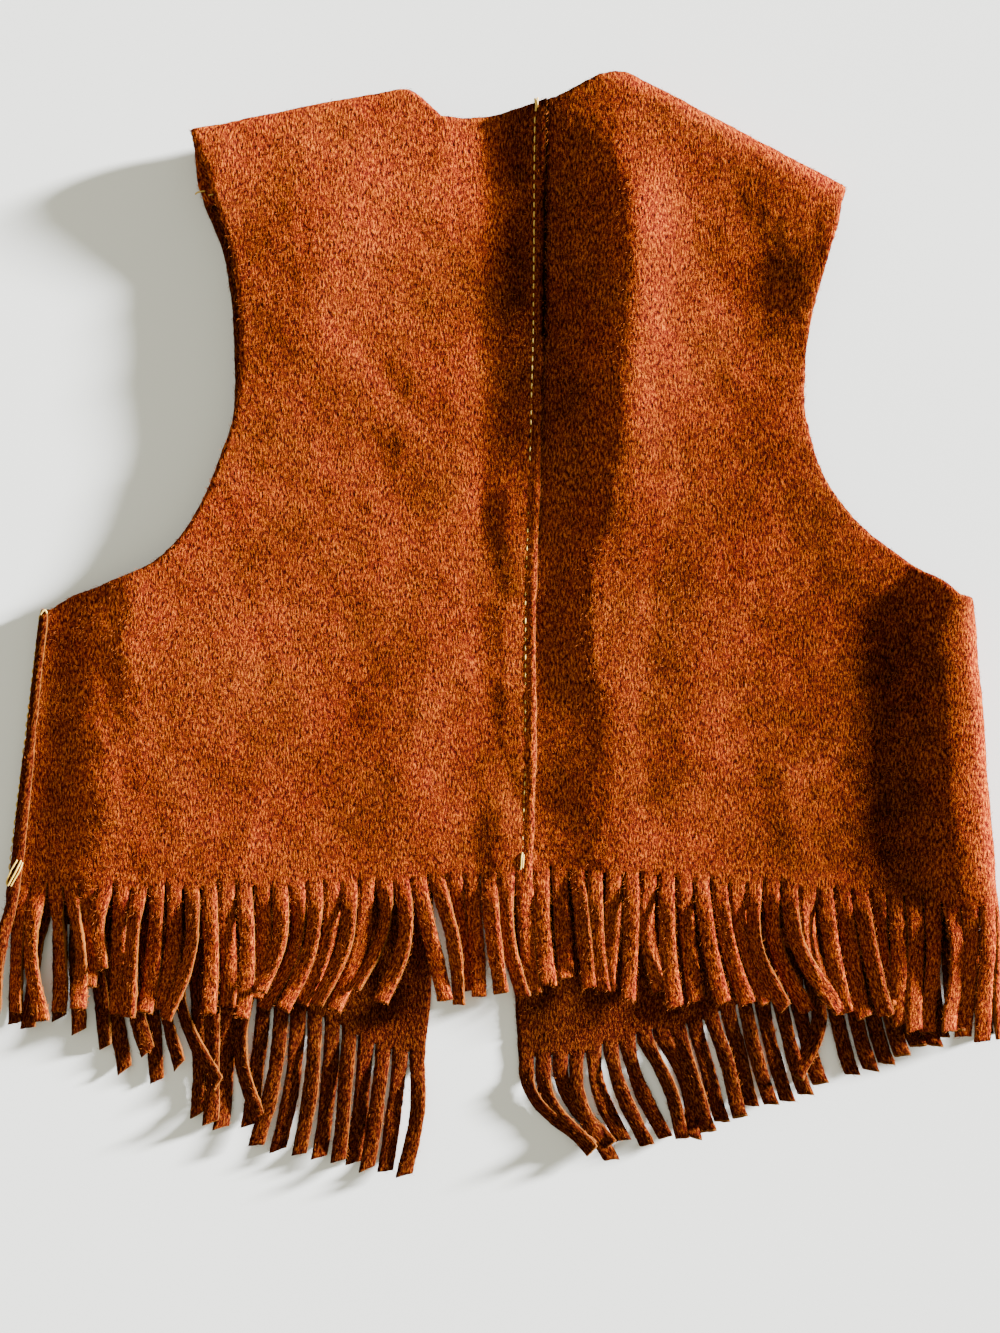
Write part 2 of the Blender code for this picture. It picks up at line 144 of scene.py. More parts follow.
class Fold:  # a roll where leather turns; the panel lies to the left of the line from start to end
    def __init__(self, start, end, radius, turn, reach):
        line = np.array(end, float) - np.array(start, float)
        self.length = math.hypot(*line)
        self.along = line / self.length
        self.out = np.array([self.along[1], -self.along[0]])
        self.start = np.array(start, float) - self.out * leather["wall"] / 2
        self.radius, self.turn, self.reach = radius, turn, reach
        self.arc = math.pi * radius

    def measure(self, flat):  # along the roll, and past the start of its bend
        offset = flat - self.start
        return offset @ self.along, offset @ self.out + self.radius

    def flat(self, s, past):
        return self.start + self.along * s + self.out * (past - self.radius)

    def laid(self, s, depth):
        return self.start + self.along * s - self.out * depth

    def pastFor(self, depth):
        return self.arc + depth - self.radius

    def nearness(self, flat):
        s, past = self.measure(flat)
        beyond = np.maximum(np.maximum(-s, s - self.length), 0)
        return 1 - ease(np.hypot(np.maximum(-past, 0), beyond) / self.reach)

    def bend(self, flat, level):
        s, past = self.measure(flat)
        angle = np.clip(past / self.radius, 0, math.pi)
        inside = self.radius * (1 - np.sin(angle)) + np.maximum(past - self.arc, 0)
        turned = self.start + s[:, None] * self.along - inside[:, None] * self.out
        plan = np.where((past > 0)[:, None], turned, flat)
        height = level + self.turn * self.radius * (1 - np.cos(angle))
        return np.column_stack([plan, height])


leftShoulder = Fold(start=(-30.0, 216.4), end=(-124.0, 198.2), radius=6.5, turn=-1, reach=44)
rightShoulder = Fold(start=(135.8, 174.9), end=(42.1, 224.5), radius=8.0, turn=-1, reach=58)
rightSide = Fold(start=(199.1, -125.0), end=(187.9, 14.0), radius=6.0, turn=-1, reach=22)
leftSide = Fold(start=(-185.8, 8.6), end=(-201.3, -120.0), radius=2.6, turn=1, reach=38)

# Edges of the cut, as x, y seen from above
centreSeam = [
    (12.0, -130.0), (12.0, -99.0), (13.6, -57.0), (13.6, 11.0), (15.2, 59.0), (16.8, 120.0), (17.4, 207.6),
]
backHem = [
    (-230, -105.4), (-184, -104.6), (-80, -103.0), (-20, -99.4), (32, -96.8),
    (60, -99.0), (100, -103.0), (140, -105.0), (172, -109.4), (194, -112.6), (240, -113.6),
]
frontLeftHem = [(-240, -106.0), (-200, -111.0), (-150, -129.6), (-90, -153.0), (-31, -176.0), (0, -188.0)]
frontRightHem = [(0, -177.6), (40, -170.4), (80, -158.2), (140, -137.0), (192, -119.0), (220, -110.0)]
neckLeft = [(0.0, 203.2), (-14.0, 201.4), (-24.0, 201.8)]
neckRight = [(30.6, 213.2), (22.8, 209.2), (17.0, 207.6)]
leftArmhole = [
    (-116.4, 180.0), (-112.0, 163.0), (-107.0, 144.0), (-104.4, 118.0), (-106.0, 90.0),
    (-113.0, 66.0), (-124.4, 42.0), (-139.0, 26.2), (-158.0, 17.6), (-172.0, 13.0),
]
rightArmhole = [
    (173.6, 19.4), (162.4, 25.8), (142.2, 41.6), (128.2, 60.4), (121.2, 84.0),
    (121.0, 102.0), (124.6, 129.0), (128.6, 145.0), (132.0, 158.0),
]
frontLeftArmhole = [
    (-119.6, 168.8), (-112.6, 150.4), (-108.6, 123.0), (-108.6, 88.0), (-114.0, 66.0),
    (-125.4, 43.0), (-140.0, 27.0), (-158.0, 17.0), (-172.0, 11.6),
]
frontRightArmhole = [
    (180.0, 8.0), (163.0, 23.0), (140.0, 41.0), (125.0, 60.0), (119.0, 84.0),
    (118.6, 103.0), (120.6, 130.0), (123.0, 148.0),
]
frontLeftEdge = [(-28.8, -149.0), (-27.4, -60.0), (-28.0, 30.0), (-33.0, 120.0), (-39.6, 180.0)]
frontRightEdge = [(47.0, 186.0), (32.0, 130.0), (12.0, 50.0), (5.4, -30.0), (4.4, -130.0)]

# Soft folds that lift or sink the leather along a line: start, end, width and height
backFolds = {
    "ridge beside the seam": ((54, 200), (46, -90), 17, 8.0),
    "crest at the neck": ((56, 214), (52, 150), 15, 3.0),
    "valley of the seam": ((4, 190), (4, -70), 15, -1.6),
    "valley before the right side": ((146, 10), (152, -90), 19, -2.0),
    "roll at the right side": ((180, -10), (184, -100), 15, 3.2),
    "dip under the right shoulder": ((92, 132), (122, 124), 15, -2.6),
    "swell of the left shoulder": ((-70, 180), (-78, 110), 24, 3.2),
    "swell of the left side": ((-120, -20), (-130, -90), 26, 1.7),
    "slant across the left back": ((-74, 92), (-26, 40), 15, -1.6),
    "swell beside the seam": ((-34, -20), (-40, -80), 18, 1.8),
    # finer ones
    "crease to the left armhole": ((-100, 60), (-60, 48), 6, -0.7),
    "crease above it": ((-62, 118), (-34, 84), 6, -0.8),
    "pucker left of the seam": ((-6, 50), (0, 14), 5, -0.8),
    "lower pucker": ((-4, -30), (2, -66), 6, -0.9),
    "bulge between the puckers": ((-14, 0), (-12, -24), 7, 0.7),
    "ripple on the left side": ((-160, -10), (-150, -60), 7, -0.6),
    "ripple over the left hem": ((-96, -60), (-104, -96), 7, 0.8),
    "crease from the right armhole": ((126, 108), (88, 96), 8, -0.9),
    "swell below it": ((112, 72), (96, 30), 13, 1.2),
    "long right flank of the ridge": ((80, 180), (74, -90), 17, 2.0),
    "slant at the right side": ((150, 30), (120, -8), 9, 0.9),
    "crease over the right hem": ((112, -60), (118, -100), 7, 0.9),
    "step beside the seam": ((26, 180), (24, 60), 6, -0.7),
    "rise of the ridge": ((56, 196), (53, 92), 13, 1.5),
    "fall of the ridge": ((50, 26), (47, -90), 17, -3.9),
    "filling under the right shoulder": ((90, 142), (118, 134), 17, 1.7),
    "rise to the right side": ((174, -6), (178, -96), 18, 0.6),
    "deeper valley before it": ((140, 4), (146, -92), 22, -0.7),
    "left flank of the ridge": ((41, 186), (34, -20), 9, 1.5),
    "first crease there": ((108, 142), (126, 146), 5, -0.8),
    "second crease there": ((104, 116), (122, 110), 5, -0.9),
}
frontFolds = {  # on the hidden insides too, kept clear of the back above them
    "left fold to the hem": ((-70, -60), (-62, -150), 11, 0.9),
    "left fold by the side": ((-140, -20), (-128, -100), 14, 1.2),
    "left slant from the armhole": ((-100, 70), (-60, 20), 12, 1.3),
    "left fold at the chest": ((-78, 150), (-70, 90), 13, 1.0),
    "right fold to the hem": ((60, -50), (52, -140), 12, 1.1),
    "right fold by the side": ((140, -10), (132, -90), 15, 1.2),
    "right slant from the armhole": ((104, 74), (58, 30), 12, 1.3),
    "right fold at the chest": ((86, 150), (74, 96), 12, 0.9),
}


def spread(strokes, flat):  # adds up soft strokes, each along a line from start to end
    total = np.zeros(len(flat))
    for start, end, width, amount in strokes.values():
        a, b = np.array(start, float), np.array(end, float)
        share = np.clip((flat - a) @ (b - a) / ((b - a) @ (b - a)), 0, 1)
        distance = np.linalg.norm(flat - (a + share[:, None] * (b - a)), axis=1)
        total += amount * np.exp(-((distance / width) ** 2))
    return total


# Painted shade and light along a line, with some darker and lighter tone of the nap: the ridge's and the
# rolls' shadows, the dark gap of the lap, lit crests and edges. Start, end, width, and how much lighter or
# darker than the rest
backPaintedShadeAndTone = {
    # painted shadow of the ridge right of the seam
    "valley right of the seam": ((20, 214), (24, 84), 14, -0.34),
    # painted shadow of the ridge over the lap at the neck
    "left of the seam at the neck": ((5, 203), (5, 76), 8, -0.56),
    # painted shade in the gap beside the lap's cut edge, darkening the edge where the lamp lights it
    "gap line of the seam": ((17.4, 208), (16.6, 116), 1.5, -0.7),
    "gap line, lower": ((16.4, 112), (14.0, 20), 1.2, -0.3),
    # painted light that lifts the ridge's shadow a little lower down
    "right of the seam, low": ((27, 0), (29, -90), 11, 0.05),
    "left of the seam, low": ((-6, 24), (-11, -94), 11, -0.27),
    "light strip at the seam, low": ((5, 4), (4, -74), 4.5, 0.24),
    # painted shade that softens the border of the ridge's shadow
    "soft border of the band": ((44, 60), (46, -60), 8, -0.1),
    # painted shade in the creases under the right shoulder and by the right armhole
    "under the right shoulder": ((106, 141), (128, 146), 7, -0.4),
    "by the right armhole": ((101, 117), (124, 109), 8, -0.46),
    # painted shade in the hollow that the right side's roll shades
    "hollow before the right side": ((150, 0), (154, -100), 27, -0.5),
    # painted light that lifts the shade where the back falls away to the left side
    "left edge": ((-180, 4), (-182, -96), 14, 0.04),
    "light beside the left edge": ((-150, -10), (-146, -92), 9, 0.14),
    "lighter part of the left edge": ((-157, 6), (-167, -92), 8, 0.42),
    "neckline": ((-28, 205), (14, 206), 5, -0.2),
    "darker spot at the left shoulder": ((-50, 208), (-42, 202), 8, -0.18),
    "smudge on the left shoulder": ((-68, 176), (-60, 160), 9, -0.14),
    "smudge below it": ((-32, 140), (-28, 126), 9, -0.14),
    "crease in the left back": ((-26, 92), (-12, 72), 5, -0.2),
    "over the left hem": ((-128, -92), (-100, -96), 12, -0.16),
    "over the right hem": ((96, -90), (126, -96), 11, -0.18),
    "left back, low": ((-60, -70), (-34, -92), 13, -0.12),
    "right back by the armhole": ((118, 60), (126, 36), 10, -0.2),
    "light left shoulder": ((-104, 190), (-26, 182), 32, 0.46),
    "darker right back": ((100, 80), (108, -70), 42, -0.36),
    "dark foot of the ridge": ((66, 30), (62, -80), 16, -0.16),
    "light beside the seam": ((-14, 106), (-17, -10), 7, 0.16),
    "light spot by the right armhole": ((114, 94), (118, 88), 9, 0.22),
    # painted shade on the ridge's right flank, which faces the lamp
    "right flank of the ridge": ((65, 152), (60, -60), 11, -0.27),
    # painted highlight on the ridge's crest
    "light crest of the ridge": ((57, 190), (53, 70), 8, 0.16),
    # painted light on the right shoulder's fold
    "light right shoulder": ((82, 200), (130, 176), 12, 0.14),
    # painted highlight along the roll at the right side, which faces the lamp
    "light right edge": ((185, 0), (190, -96), 6, 0.45),
    "light left side": ((-142, 8), (-70, -10), 14, 0.12),
    "darker left back": ((-60, 70), (-84, -60), 46, -0.13),
    # painted light on the back's strands
    "strands of the back": ((-190, -134), (170, -138), 24, 0.14),
}
# Painted shade and light on the fronts, with some tone on the hidden chests: start, end, width, and how much
# lighter or darker than the rest
frontPaintedShadeAndTone = {
    # painted shade where the back's strands shade the left front's hem
    "dark left hem": ((-120, -130), (-34, -160), 16, -0.26),
    "dark right edge": ((8, -110), (12, -165), 8, -0.2),
    # painted light where the right front's hem lies in the light
    "light right hem": ((30, -160), (90, -146), 11, 0.22),
    "dark left chest": ((-70, 120), (-50, 40), 20, -0.12),
    "light right chest": ((60, 110), (44, 30), 22, 0.1),
}

seamStart = np.array(centreSeam[1])
seamLine = np.array(centreSeam[-1]) - seamStart
seamOut = np.array([seamLine[1], -seamLine[0]]) / math.hypot(*seamLine)


def centreX(y):
    return readTable([(py, px) for px, py in centreSeam], y)


def backLevel(flat):
    level = levels["back"] + spread(backFolds, flat)
    for fold in (leftShoulder, rightShoulder, rightSide):
        level += (levels["flap"] + 2 * fold.radius - level) * fold.nearness(flat)
    return level + (levels["tucked"] - level) * leftSide.nearness(flat)


stitchLine = {"inset": 4.1, "sink": 0.32, "width": 0.9, "edgeCurl": 0.35, "edgeWidth": 2.4}


def placeBackLeft(flat):
    past = (flat - seamStart) @ seamOut
    slope = levels["lapSlope"]
    lap = levels["lapRise"] * ease((past + seams["centreLap"] + seams["lapEase"] + slope) / slope)
    inside = centreX(flat[:, 1]) - flat[:, 0]
    pull = stitchLine["sink"] * np.exp(-((inside - stitchLine["inset"]) / stitchLine["width"]) ** 2)
    curl = stitchLine["edgeCurl"] * np.exp(-((inside / stitchLine["edgeWidth"]) ** 2))
    return leftShoulder.bend(flat, backLevel(flat) + lap - pull + curl)


def placeBackRight(flat):
    level = backLevel(flat)
    high = (flat[:, 1] > seams["rollsApart"])[:, None]
    return np.where(high, rightShoulder.bend(flat, level), rightSide.bend(flat, level))


def frontLevel(flat):
    inside = ease((leftSide.measure(flat)[1] + seams["calmFrom"]) / -seams["calmOver"] + 1)
    return levels["front"] + spread(frontFolds, flat) * inside


def placeFrontLeft(flat):
    return leftSide.bend(flat, frontLevel(flat))


def placeFrontRight(flat):
    return np.column_stack([flat, levels["front"] + spread(frontFolds, flat)])


def smoothLine(points, step):  # points about a step apart on a smooth curve through these points
    ends = [np.array(p, float) for p in points]
    ends = [2 * ends[0] - ends[1], *ends, 2 * ends[-1] - ends[-2]]
    line = []
    for before, here, there, after in zip(ends, ends[1:], ends[2:], ends[3:]):
        steps = max(1, round(math.hypot(*(there - here)) / step))
        for t in (k / steps for k in range(steps)):
            bend = 2 * before - 5 * here + 4 * there - after
            twist = 3 * here - before - 3 * there + after
            line.append(0.5 * (2 * here + t * (there - before) + t * t * bend + t ** 3 * twist))
    return line + [ends[-2]]


def densify(points, step):  # a closed outline with no gap longer than a step
    points = np.array(points)
    dense = []
    for here, there in zip(points, np.roll(points, -1, axis=0)):
        length = math.hypot(*(there - here))
        if length < leather["shortestEdge"]:
            continue
        steps = max(1, math.ceil(length / step - leather["stepSlack"]))
        dense += [here + (there - here) * k / steps for k in range(steps)]
    return np.array(dense)


def edgeLine(points):
    return smoothLine(points, leather["pointSpacing"])


def flapPoints(fold, rows):
    return [fold.flat(s, past) for s, past in rows]


hemStep = 4
backHemLine, frontLeftHemLine, frontRightHemLine = (
    smoothLine(hem, hemStep) for hem in (backHem, frontLeftHem, frontRightHem)
)
hemAt = {"centreY": -100, "tucked": 108, "wrap": 112, "sideFlap": 16}  # the last three along a roll
backLeftEdgeX = leftSide.laid(hemAt["tucked"], seams["tuckedEdge"])[0]
centreHemX = centreX(hemAt["centreY"])
sideFlapX = rightSide.flat(hemAt["sideFlap"], rightSide.pastFor(seams["sideFlap"]))[0]
wrapHemX = leftSide.flat(hemAt["wrap"], leftSide.pastFor(seams["wrapHem"]))[0]
sideFoldX = leftSide.flat(hemAt["wrap"], 0)[0]
underLapX = centreHemX - fringe["pitch"] + fringe["slit"]


def centreEdge(bottom, top, inset):
    steps = round((top - bottom) / leather["pointSpacing"])
    ys = [bottom + (top - bottom) * k / steps for k in range(1, steps)]
    return [np.array([centreX(y) - inset, y]) for y in ys]


def backLeftEdges(hemEnd):
    fold = leftShoulder
    deep = fold.pastFor(seams["shoulderFlap"])
    flap = [
        (3.0, 0.0), (12.4, fold.arc / 2), (15.0, fold.arc), (16.0, deep), (96.0, deep),
        (98.2, fold.pastFor(seams["shoulderEdge"])), (97.0, fold.arc), (95.9, fold.arc / 2), (94.5, 0.0),
    ]
    side = [leftSide.laid(s, seams["tuckedEdge"]) for s in (2, 28, 55, 82)]
    return [
        *centreEdge(hemEnd, centreSeam[-1][1], 0), *edgeLine([centreSeam[-1], *neckLeft]),
        *flapPoints(fold, flap), *edgeLine(leftArmhole), *side,
    ]


def backRightEdges(hemEnd):
    side, shoulder = rightSide, rightShoulder
    sideDeep, shoulderDeep = side.pastFor(seams["sideFlap"]), shoulder.pastFor(seams["shoulderFlap"])
    sideFlap = [(35.0, sideDeep), (130.0, sideDeep), (134.0, side.arc), (136.0, side.arc / 2), (139.0, 0.0)]
    shoulderFlap = [
        (-2.0, 0.0), (0.0, shoulder.arc / 2), (2.0, shoulder.arc), (6.0, shoulderDeep), (86.0, shoulderDeep),
        (89.0, shoulder.arc), (92.5, shoulder.arc / 2), (99.8, 5.4), (106.0, 0.0),
    ]
    neck = [*neckRight, (centreSeam[-1][0] - seams["centreLap"], seams["underTop"])]
    return [
        *flapPoints(side, sideFlap), *edgeLine(rightArmhole), *flapPoints(shoulder, shoulderFlap),
        *edgeLine(neck), *reversed(centreEdge(seams["underFoot"], seams["underTop"], seams["centreLap"])),
    ]


def frontLeftEdges(hemEnd):
    top, foot = leftSide.pastFor(seams["wrapTop"]), leftSide.pastFor(seams["wrapHem"])
    wrap = [(1.0, 0.0), (2.0, leftSide.arc), (3.0, top), (100.0, foot)]
    shoulder = [leftShoulder.laid(s, seams["shoulderEdge"]) for s in (15, 98)]
    return [*edgeLine(frontLeftEdge), *shoulder, *edgeLine(frontLeftArmhole), *flapPoints(leftSide, wrap)]


def frontRightEdges(hemEnd):
    side = [rightSide.laid(s, seams["sideEdge"]) for s in (22, 45, 90, 127)]
    shoulder = [rightShoulder.laid(s, seams["shoulderEdge"]) for s in (4, 88)]
    return [*side, *edgeLine(frontRightArmhole), *shoulder, *edgeLine(frontRightEdge)]


# Each strand, from the left: how far its tip hangs sideways, how far its middle bows to the right,
# its twist in degrees halfway and at the tip (right edge up), its length, and 1 where it lies over its
# neighbours
backLeftStrands = {
    "lean": [-2, 2.5, 2, 3, 0, -1, -3, -5, -5.5, -6.5, -11, -0.8, 0, -1, -3, -8, -14, -13, -13, -13.5,
             -13.5, -12.5, -8.5, 10.5, 9, 5, 3, 5, 6.5, 4],
    "bow": [-1, -3.5, 1, 2.5, 0, -3, -1, -1.5, 0.5, 1.5, 3.5, 1, 0, 1.5, 1.5, 3, 4.5, 3.5, 3, 3.5,
            2, 4, 4.5, 0.5, 3, 1, 0.5, -0.5, -2.5, 0],
    "twist": [40, 35, 55, 70, -30, 12, 20, 35, 15, -15, 45, 8, -20, 10, 20, 20, 52, 25, -25, 30,
              -20, 66, 35, 15, 40, 30, 5, 20, 35, -10],
    "tipTwist": [60, 5, 10, -10, 10, 25, 5, 30, 10, 5, 50, 0, -10, 0, 0, 40, 35, 10, -15, 50,
                 20, 55, 20, 0, 72, 10, 0, 25, 40, 0],
    "length": [50, 53, 50, 48, 40, 33, 51, 52, 51, 50, 54, 51, 49, 53, 46, 44, 52, 52, 50, 51,
               54, 45, 50, 50, 52, 48, 50, 48, 50, 48],
    "upper": [0, 1, 0, 1, 0, 1, 0, 1, 0, 0, 1, 1, 0, 1, 0, 1, 0, 1, 0, 1, 0, 0, 1, 1, 1, 0, 1, 1, 0, 0],
}
backRightStrands = {
    "lean": [4, 3, 3, 5, 3.5, -2, -1, 5, 4, 5.5, 9, 11.5, 13, 12.5, 15, 21, 10, 9, 9, 10.5,
             5, 2.5, 0.5, -1, -0.5, -1, -0.5, 0.5, 0.5, 0],
    "bow": [-1, -1, 0, 0.5, -1, 0.5, 0.5, -2, -1, 0, -0.5, -1, -1.5, -4, -3.5, -4.5, -2, -0.5, 0.5, 0,
            0, 0.3, 0.8, 1.7, 2.8, 1.8, 1.2, 0, 0, 0],
    "twist": [30, 10, -25, 42, 15, -15, 10, -30, 15, -5, 15, 20, -20, 60, 50, 52, -50, 15, 20, 36,
              55, 10, -10, 15, -18, 12, 12, 8, 0, 0],
    "tipTwist": [40, 0, 0, 15, 20, -10, 0, -20, 5, 0, 10, 10, -10, 42, 5, -24, -20, 20, 10, 30,
                 30, 5, 0, 10, -20, 15, 10, 8, 0, 0],
    "length": [49, 46, 44, 48, 49, 49, 51, 47, 52, 50, 50, 50, 50, 51, 53, 54, 48, 51, 53, 51,
               47, 52, 53, 53, 51, 52, 53, 52, 51, 50],
    "upper": [0, 1, 0, 1, 1, 0, 1, 0, 1, 0, 1, 1, 0, 1, 0, 1, 0, 1, 0, 1, 0, 1, 1, 0, 1, 0, 1, 0, 1, 0],
}
frontLeftStrands = {  # the first two belong to the side that wraps over the back
    "lean": [-7, -5, -4, -5, 0, 2, 5, 6, 9, 5, 8, 17, 1, 0, -3, 5, -6, -9.5, -8, -6, -5, -4, -5, -6, -6, -5],
    "bow": [-1, -1, -1.5, -1, 0, 0, 1, -1, -1, 1, -1, -3, 1, 0, 0, -4, 0, 1.5, 1, 1, 0.5, 0, 0, 0, 0, 2],
    "twist": [25, 30, 30, 50, 0, 10, 30, -20, 20, -15, 55, 50, 40, 20, -30, 45, 0, 12, -20, 15,
              -10, 15, -12, 10, -15, 20],
    "tipTwist": [10, 20, 20, 30, 0, 0, 50, 10, 10, 0, 30, 20, 30, 10, -10, 20, 0, 10, 0, 10,
                 0, 10, 0, 15, 0, 10],
    "length": [44, 44, 47, 46, 40, 42, 46, 53, 43, 52, 43, 50, 57, 57, 57, 50, 51, 56, 56, 54,
               53, 51, 50, 49, 48, 46],
    "upper": [1, 1, 0, 1, 0, 1, 0, 0, 1, 0, 1, 1, 0, 1, 0, 1, 0, 1, 0, 1, 0, 1, 0, 1, 0, 1],
}
frontRightStrands = {
    "lean": [28, 21, 21, 14, 12, 15, 16, 15, 13, 12, 11, 11, 9, 10, 10, 10, 10, -8, 9, 9, 9, 8, 8, 7, 4, 2],
    "bow": [-6, -5, -4, -4, -2, -1, -1, 4, 5, 1, 1, 2, 1, 0, 0, 0, 0, 5, 0, 0, 0, 0, 0, 0, 0, 0],
    "twist": [52, 30, 20, 15, -20, 15, 20, 40, 35, 30, -15, 15, 20, 15, -15, 20, 15, 30, -15, 15,
              10, -15, 15, 10, -10, 10],
    "tipTwist": [30, 10, 10, -30, 0, 10, 10, 10, 0, 10, 0, 10, 10, 0, 0, 10, 0, 50, 0, 10,
                 0, 0, 10, 0, 0, 0],
    "length": [44, 42, 41, 44, 38, 42, 42, 43, 45, 44, 43, 43, 40, 42, 43, 42, 42, 40, 42, 42,
               42, 41, 41, 41, 40, 40],
    "upper": [0, 1, 0, 1, 0, 1, 0, 1, 0, 1, 0, 1, 0, 1, 0, 1, 0, 1, 0, 1, 0, 1, 0, 1, 0, 1],
}

# span is where a row of fringe starts and ends, wrapped how many strands hang from a lapped-over side, and
# curl the least and the extra turn of a tip in radians. fibres counts those on the faces and at the edges.
panels = [
    {
        "name": "suede_back_left", "nodes": ("back_left", "back_left_shoulder", "back_left_fringe"),
        "place": placeBackLeft, "edges": backLeftEdges, "side": None, "hem": backHemLine,
        "strands": backLeftStrands, "span": (backLeftEdgeX, centreHemX), "wrapped": 0, "curl": (0.05, 0.7),
        "patches": backPaintedShadeAndTone, "rest": "back", "seed": 3, "fibres": (9500, 3500),
        "restsOn": ["suede_front_left", "suede_back_right"],
    },
    {
        "name": "suede_back_right", "nodes": ("back_right", "back_right_shoulder", "back_right_fringe"),
        "place": placeBackRight, "edges": backRightEdges, "side": rightSide, "hem": backHemLine,
        "strands": backRightStrands, "span": (underLapX, sideFlapX), "wrapped": 0, "curl": (0.05, 0.7),
        "patches": backPaintedShadeAndTone, "rest": "back", "seed": 4, "fibres": (9500, 3500),
        "restsOn": ["suede_front_right"],
    },
    {
        "name": "suede_front_left", "nodes": ("front_left", "front_left_fringe"),
        "place": placeFrontLeft, "edges": frontLeftEdges, "side": None, "hem": frontLeftHemLine,
        "strands": frontLeftStrands, "span": (sideFoldX, -31.2), "wrapped": 2, "curl": (0.05, 0.7),
        "patches": frontPaintedShadeAndTone, "rest": "front", "seed": 5, "fibres": (2400, 1800),
        "restsOn": [],
    },
    {
        "name": "suede_front_right", "nodes": ("front_right", "front_right_fringe"),
        "place": placeFrontRight, "edges": frontRightEdges, "side": None, "hem": frontRightHemLine,
        "strands": frontRightStrands, "span": (6.8, 183.0), "wrapped": 0, "curl": (0.6, 0.8),
        "patches": frontPaintedShadeAndTone, "rest": "front", "seed": 6, "fibres": (2400, 1800),
        "restsOn": [],
    },
]


def cutStrands(panel):  # each strand as a dictionary, with its left and right edges in the flat cut
    draw = random.Random(panel["seed"])
    table, wrapped = panel["strands"], panel["wrapped"]
    count = len(table["lean"]) - wrapped
    start, end = panel["span"]
    pitch = (end - start + fringe["slit"]) / count
    lefts = [start + k * pitch for k in range(count)]
    if wrapped:
        step = (start - wrapHemX) / wrapped
        lefts = [wrapHemX + k * step for k in range(wrapped)] + lefts
    strands = []
    for k, left in enumerate(lefts):
        right = (lefts[k + 1] if k + 1 < len(lefts) else end + fringe["slit"]) - fringe["slit"]
        spare = draw.uniform(0, fringe["widthJitter"])
        middleX = (left + right) / 2
        strand = {column: values[k] for column, values in table.items()}
        strand.update(
            left=left + (spare / 2 if k else 0), right=right - spare / 2, x=middleX, wrapped=k < wrapped,
            slitTop=draw.uniform(*fringe["slitRange"]) * fringe["slitJitter"],
            tipSlope=draw.uniform(-1, 1) * fringe["tipSlope"],
            wave=draw.uniform(-1, 1) * fringe["waveHeight"], phase=draw.uniform(0, 2 * math.pi),
            curl=panel["curl"][0] + draw.uniform(0, 1) ** 2 * panel["curl"][1],
        )
        strands.append(strand)
    return strands


def hemY(panel, x):
    return readTable(panel["hem"], x)


def cutOutline(panel, strands):  # the whole flat cut of a panel, with its slits, anticlockwise
    points = []
    for k, strand in enumerate(strands):
        left, right = strand["left"], strand["right"]
        tip = hemY(panel, strand["x"]) - strand["length"]
        rise = strand["slitTop"] if k + 1 < len(strands) else 0
        riseBefore = strands[k - 1]["slitTop"] if k else 0
        points += [
            (left, hemY(panel, left) + riseBefore), (left, tip + strand["tipSlope"] / 2),
            (right, tip - strand["tipSlope"] / 2), (right, hemY(panel, right) + rise),
        ]
    return points + [tuple(p) for p in panel["edges"](points[-1][1])]


def insideRow(outline, y):  # where a row crosses the outline, from left to right
    here, there = outline, np.roll(outline, -1, axis=0)
    crosses = (here[:, 1] > y) != (there[:, 1] > y)
    a, b = here[crosses], there[crosses]
    return np.sort(a[:, 0] + (y - a[:, 1]) * (b[:, 0] - a[:, 0]) / (b[:, 1] - a[:, 1]))


def fillCut(outline):  # an even mesh of triangles inside the outline
    spacing = leather["pointSpacing"]
    rowShare = math.sqrt(0.75)  # height of a row of equal triangles
    near = kdtree.KDTree(len(outline))
    for k, point in enumerate(outline):
        near.insert((*point, 0), k)
    near.balance()
    inside = []
    low, high = outline.min(0), outline.max(0)
    rows = int((high[1] - low[1]) / (spacing * rowShare))
    for row in range(1, rows + 1):
        y = low[1] + row * spacing * rowShare
        crossings = insideRow(outline, y)
        xs = np.arange(low[0] + (row % 2) * spacing / 2, high[0], spacing)
        xs = xs[np.searchsorted(crossings, xs) % 2 == 1]
        for x in xs:
            if near.find((x, y, 0))[2] > spacing * leather["edgeClearance"]:
                inside.append((x, y))
    points = [Vector(p) for p in outline] + [Vector(p) for p in inside]
    edges = [(k, (k + 1) % len(outline)) for k in range(len(outline))]
    insideOnly = 1
    flat, _, faces, _, _, _ = delaunay_2d_cdt(points, edges, [], insideOnly, leather["mergeWithin"])
    return np.array([tuple(p) for p in flat]), faces


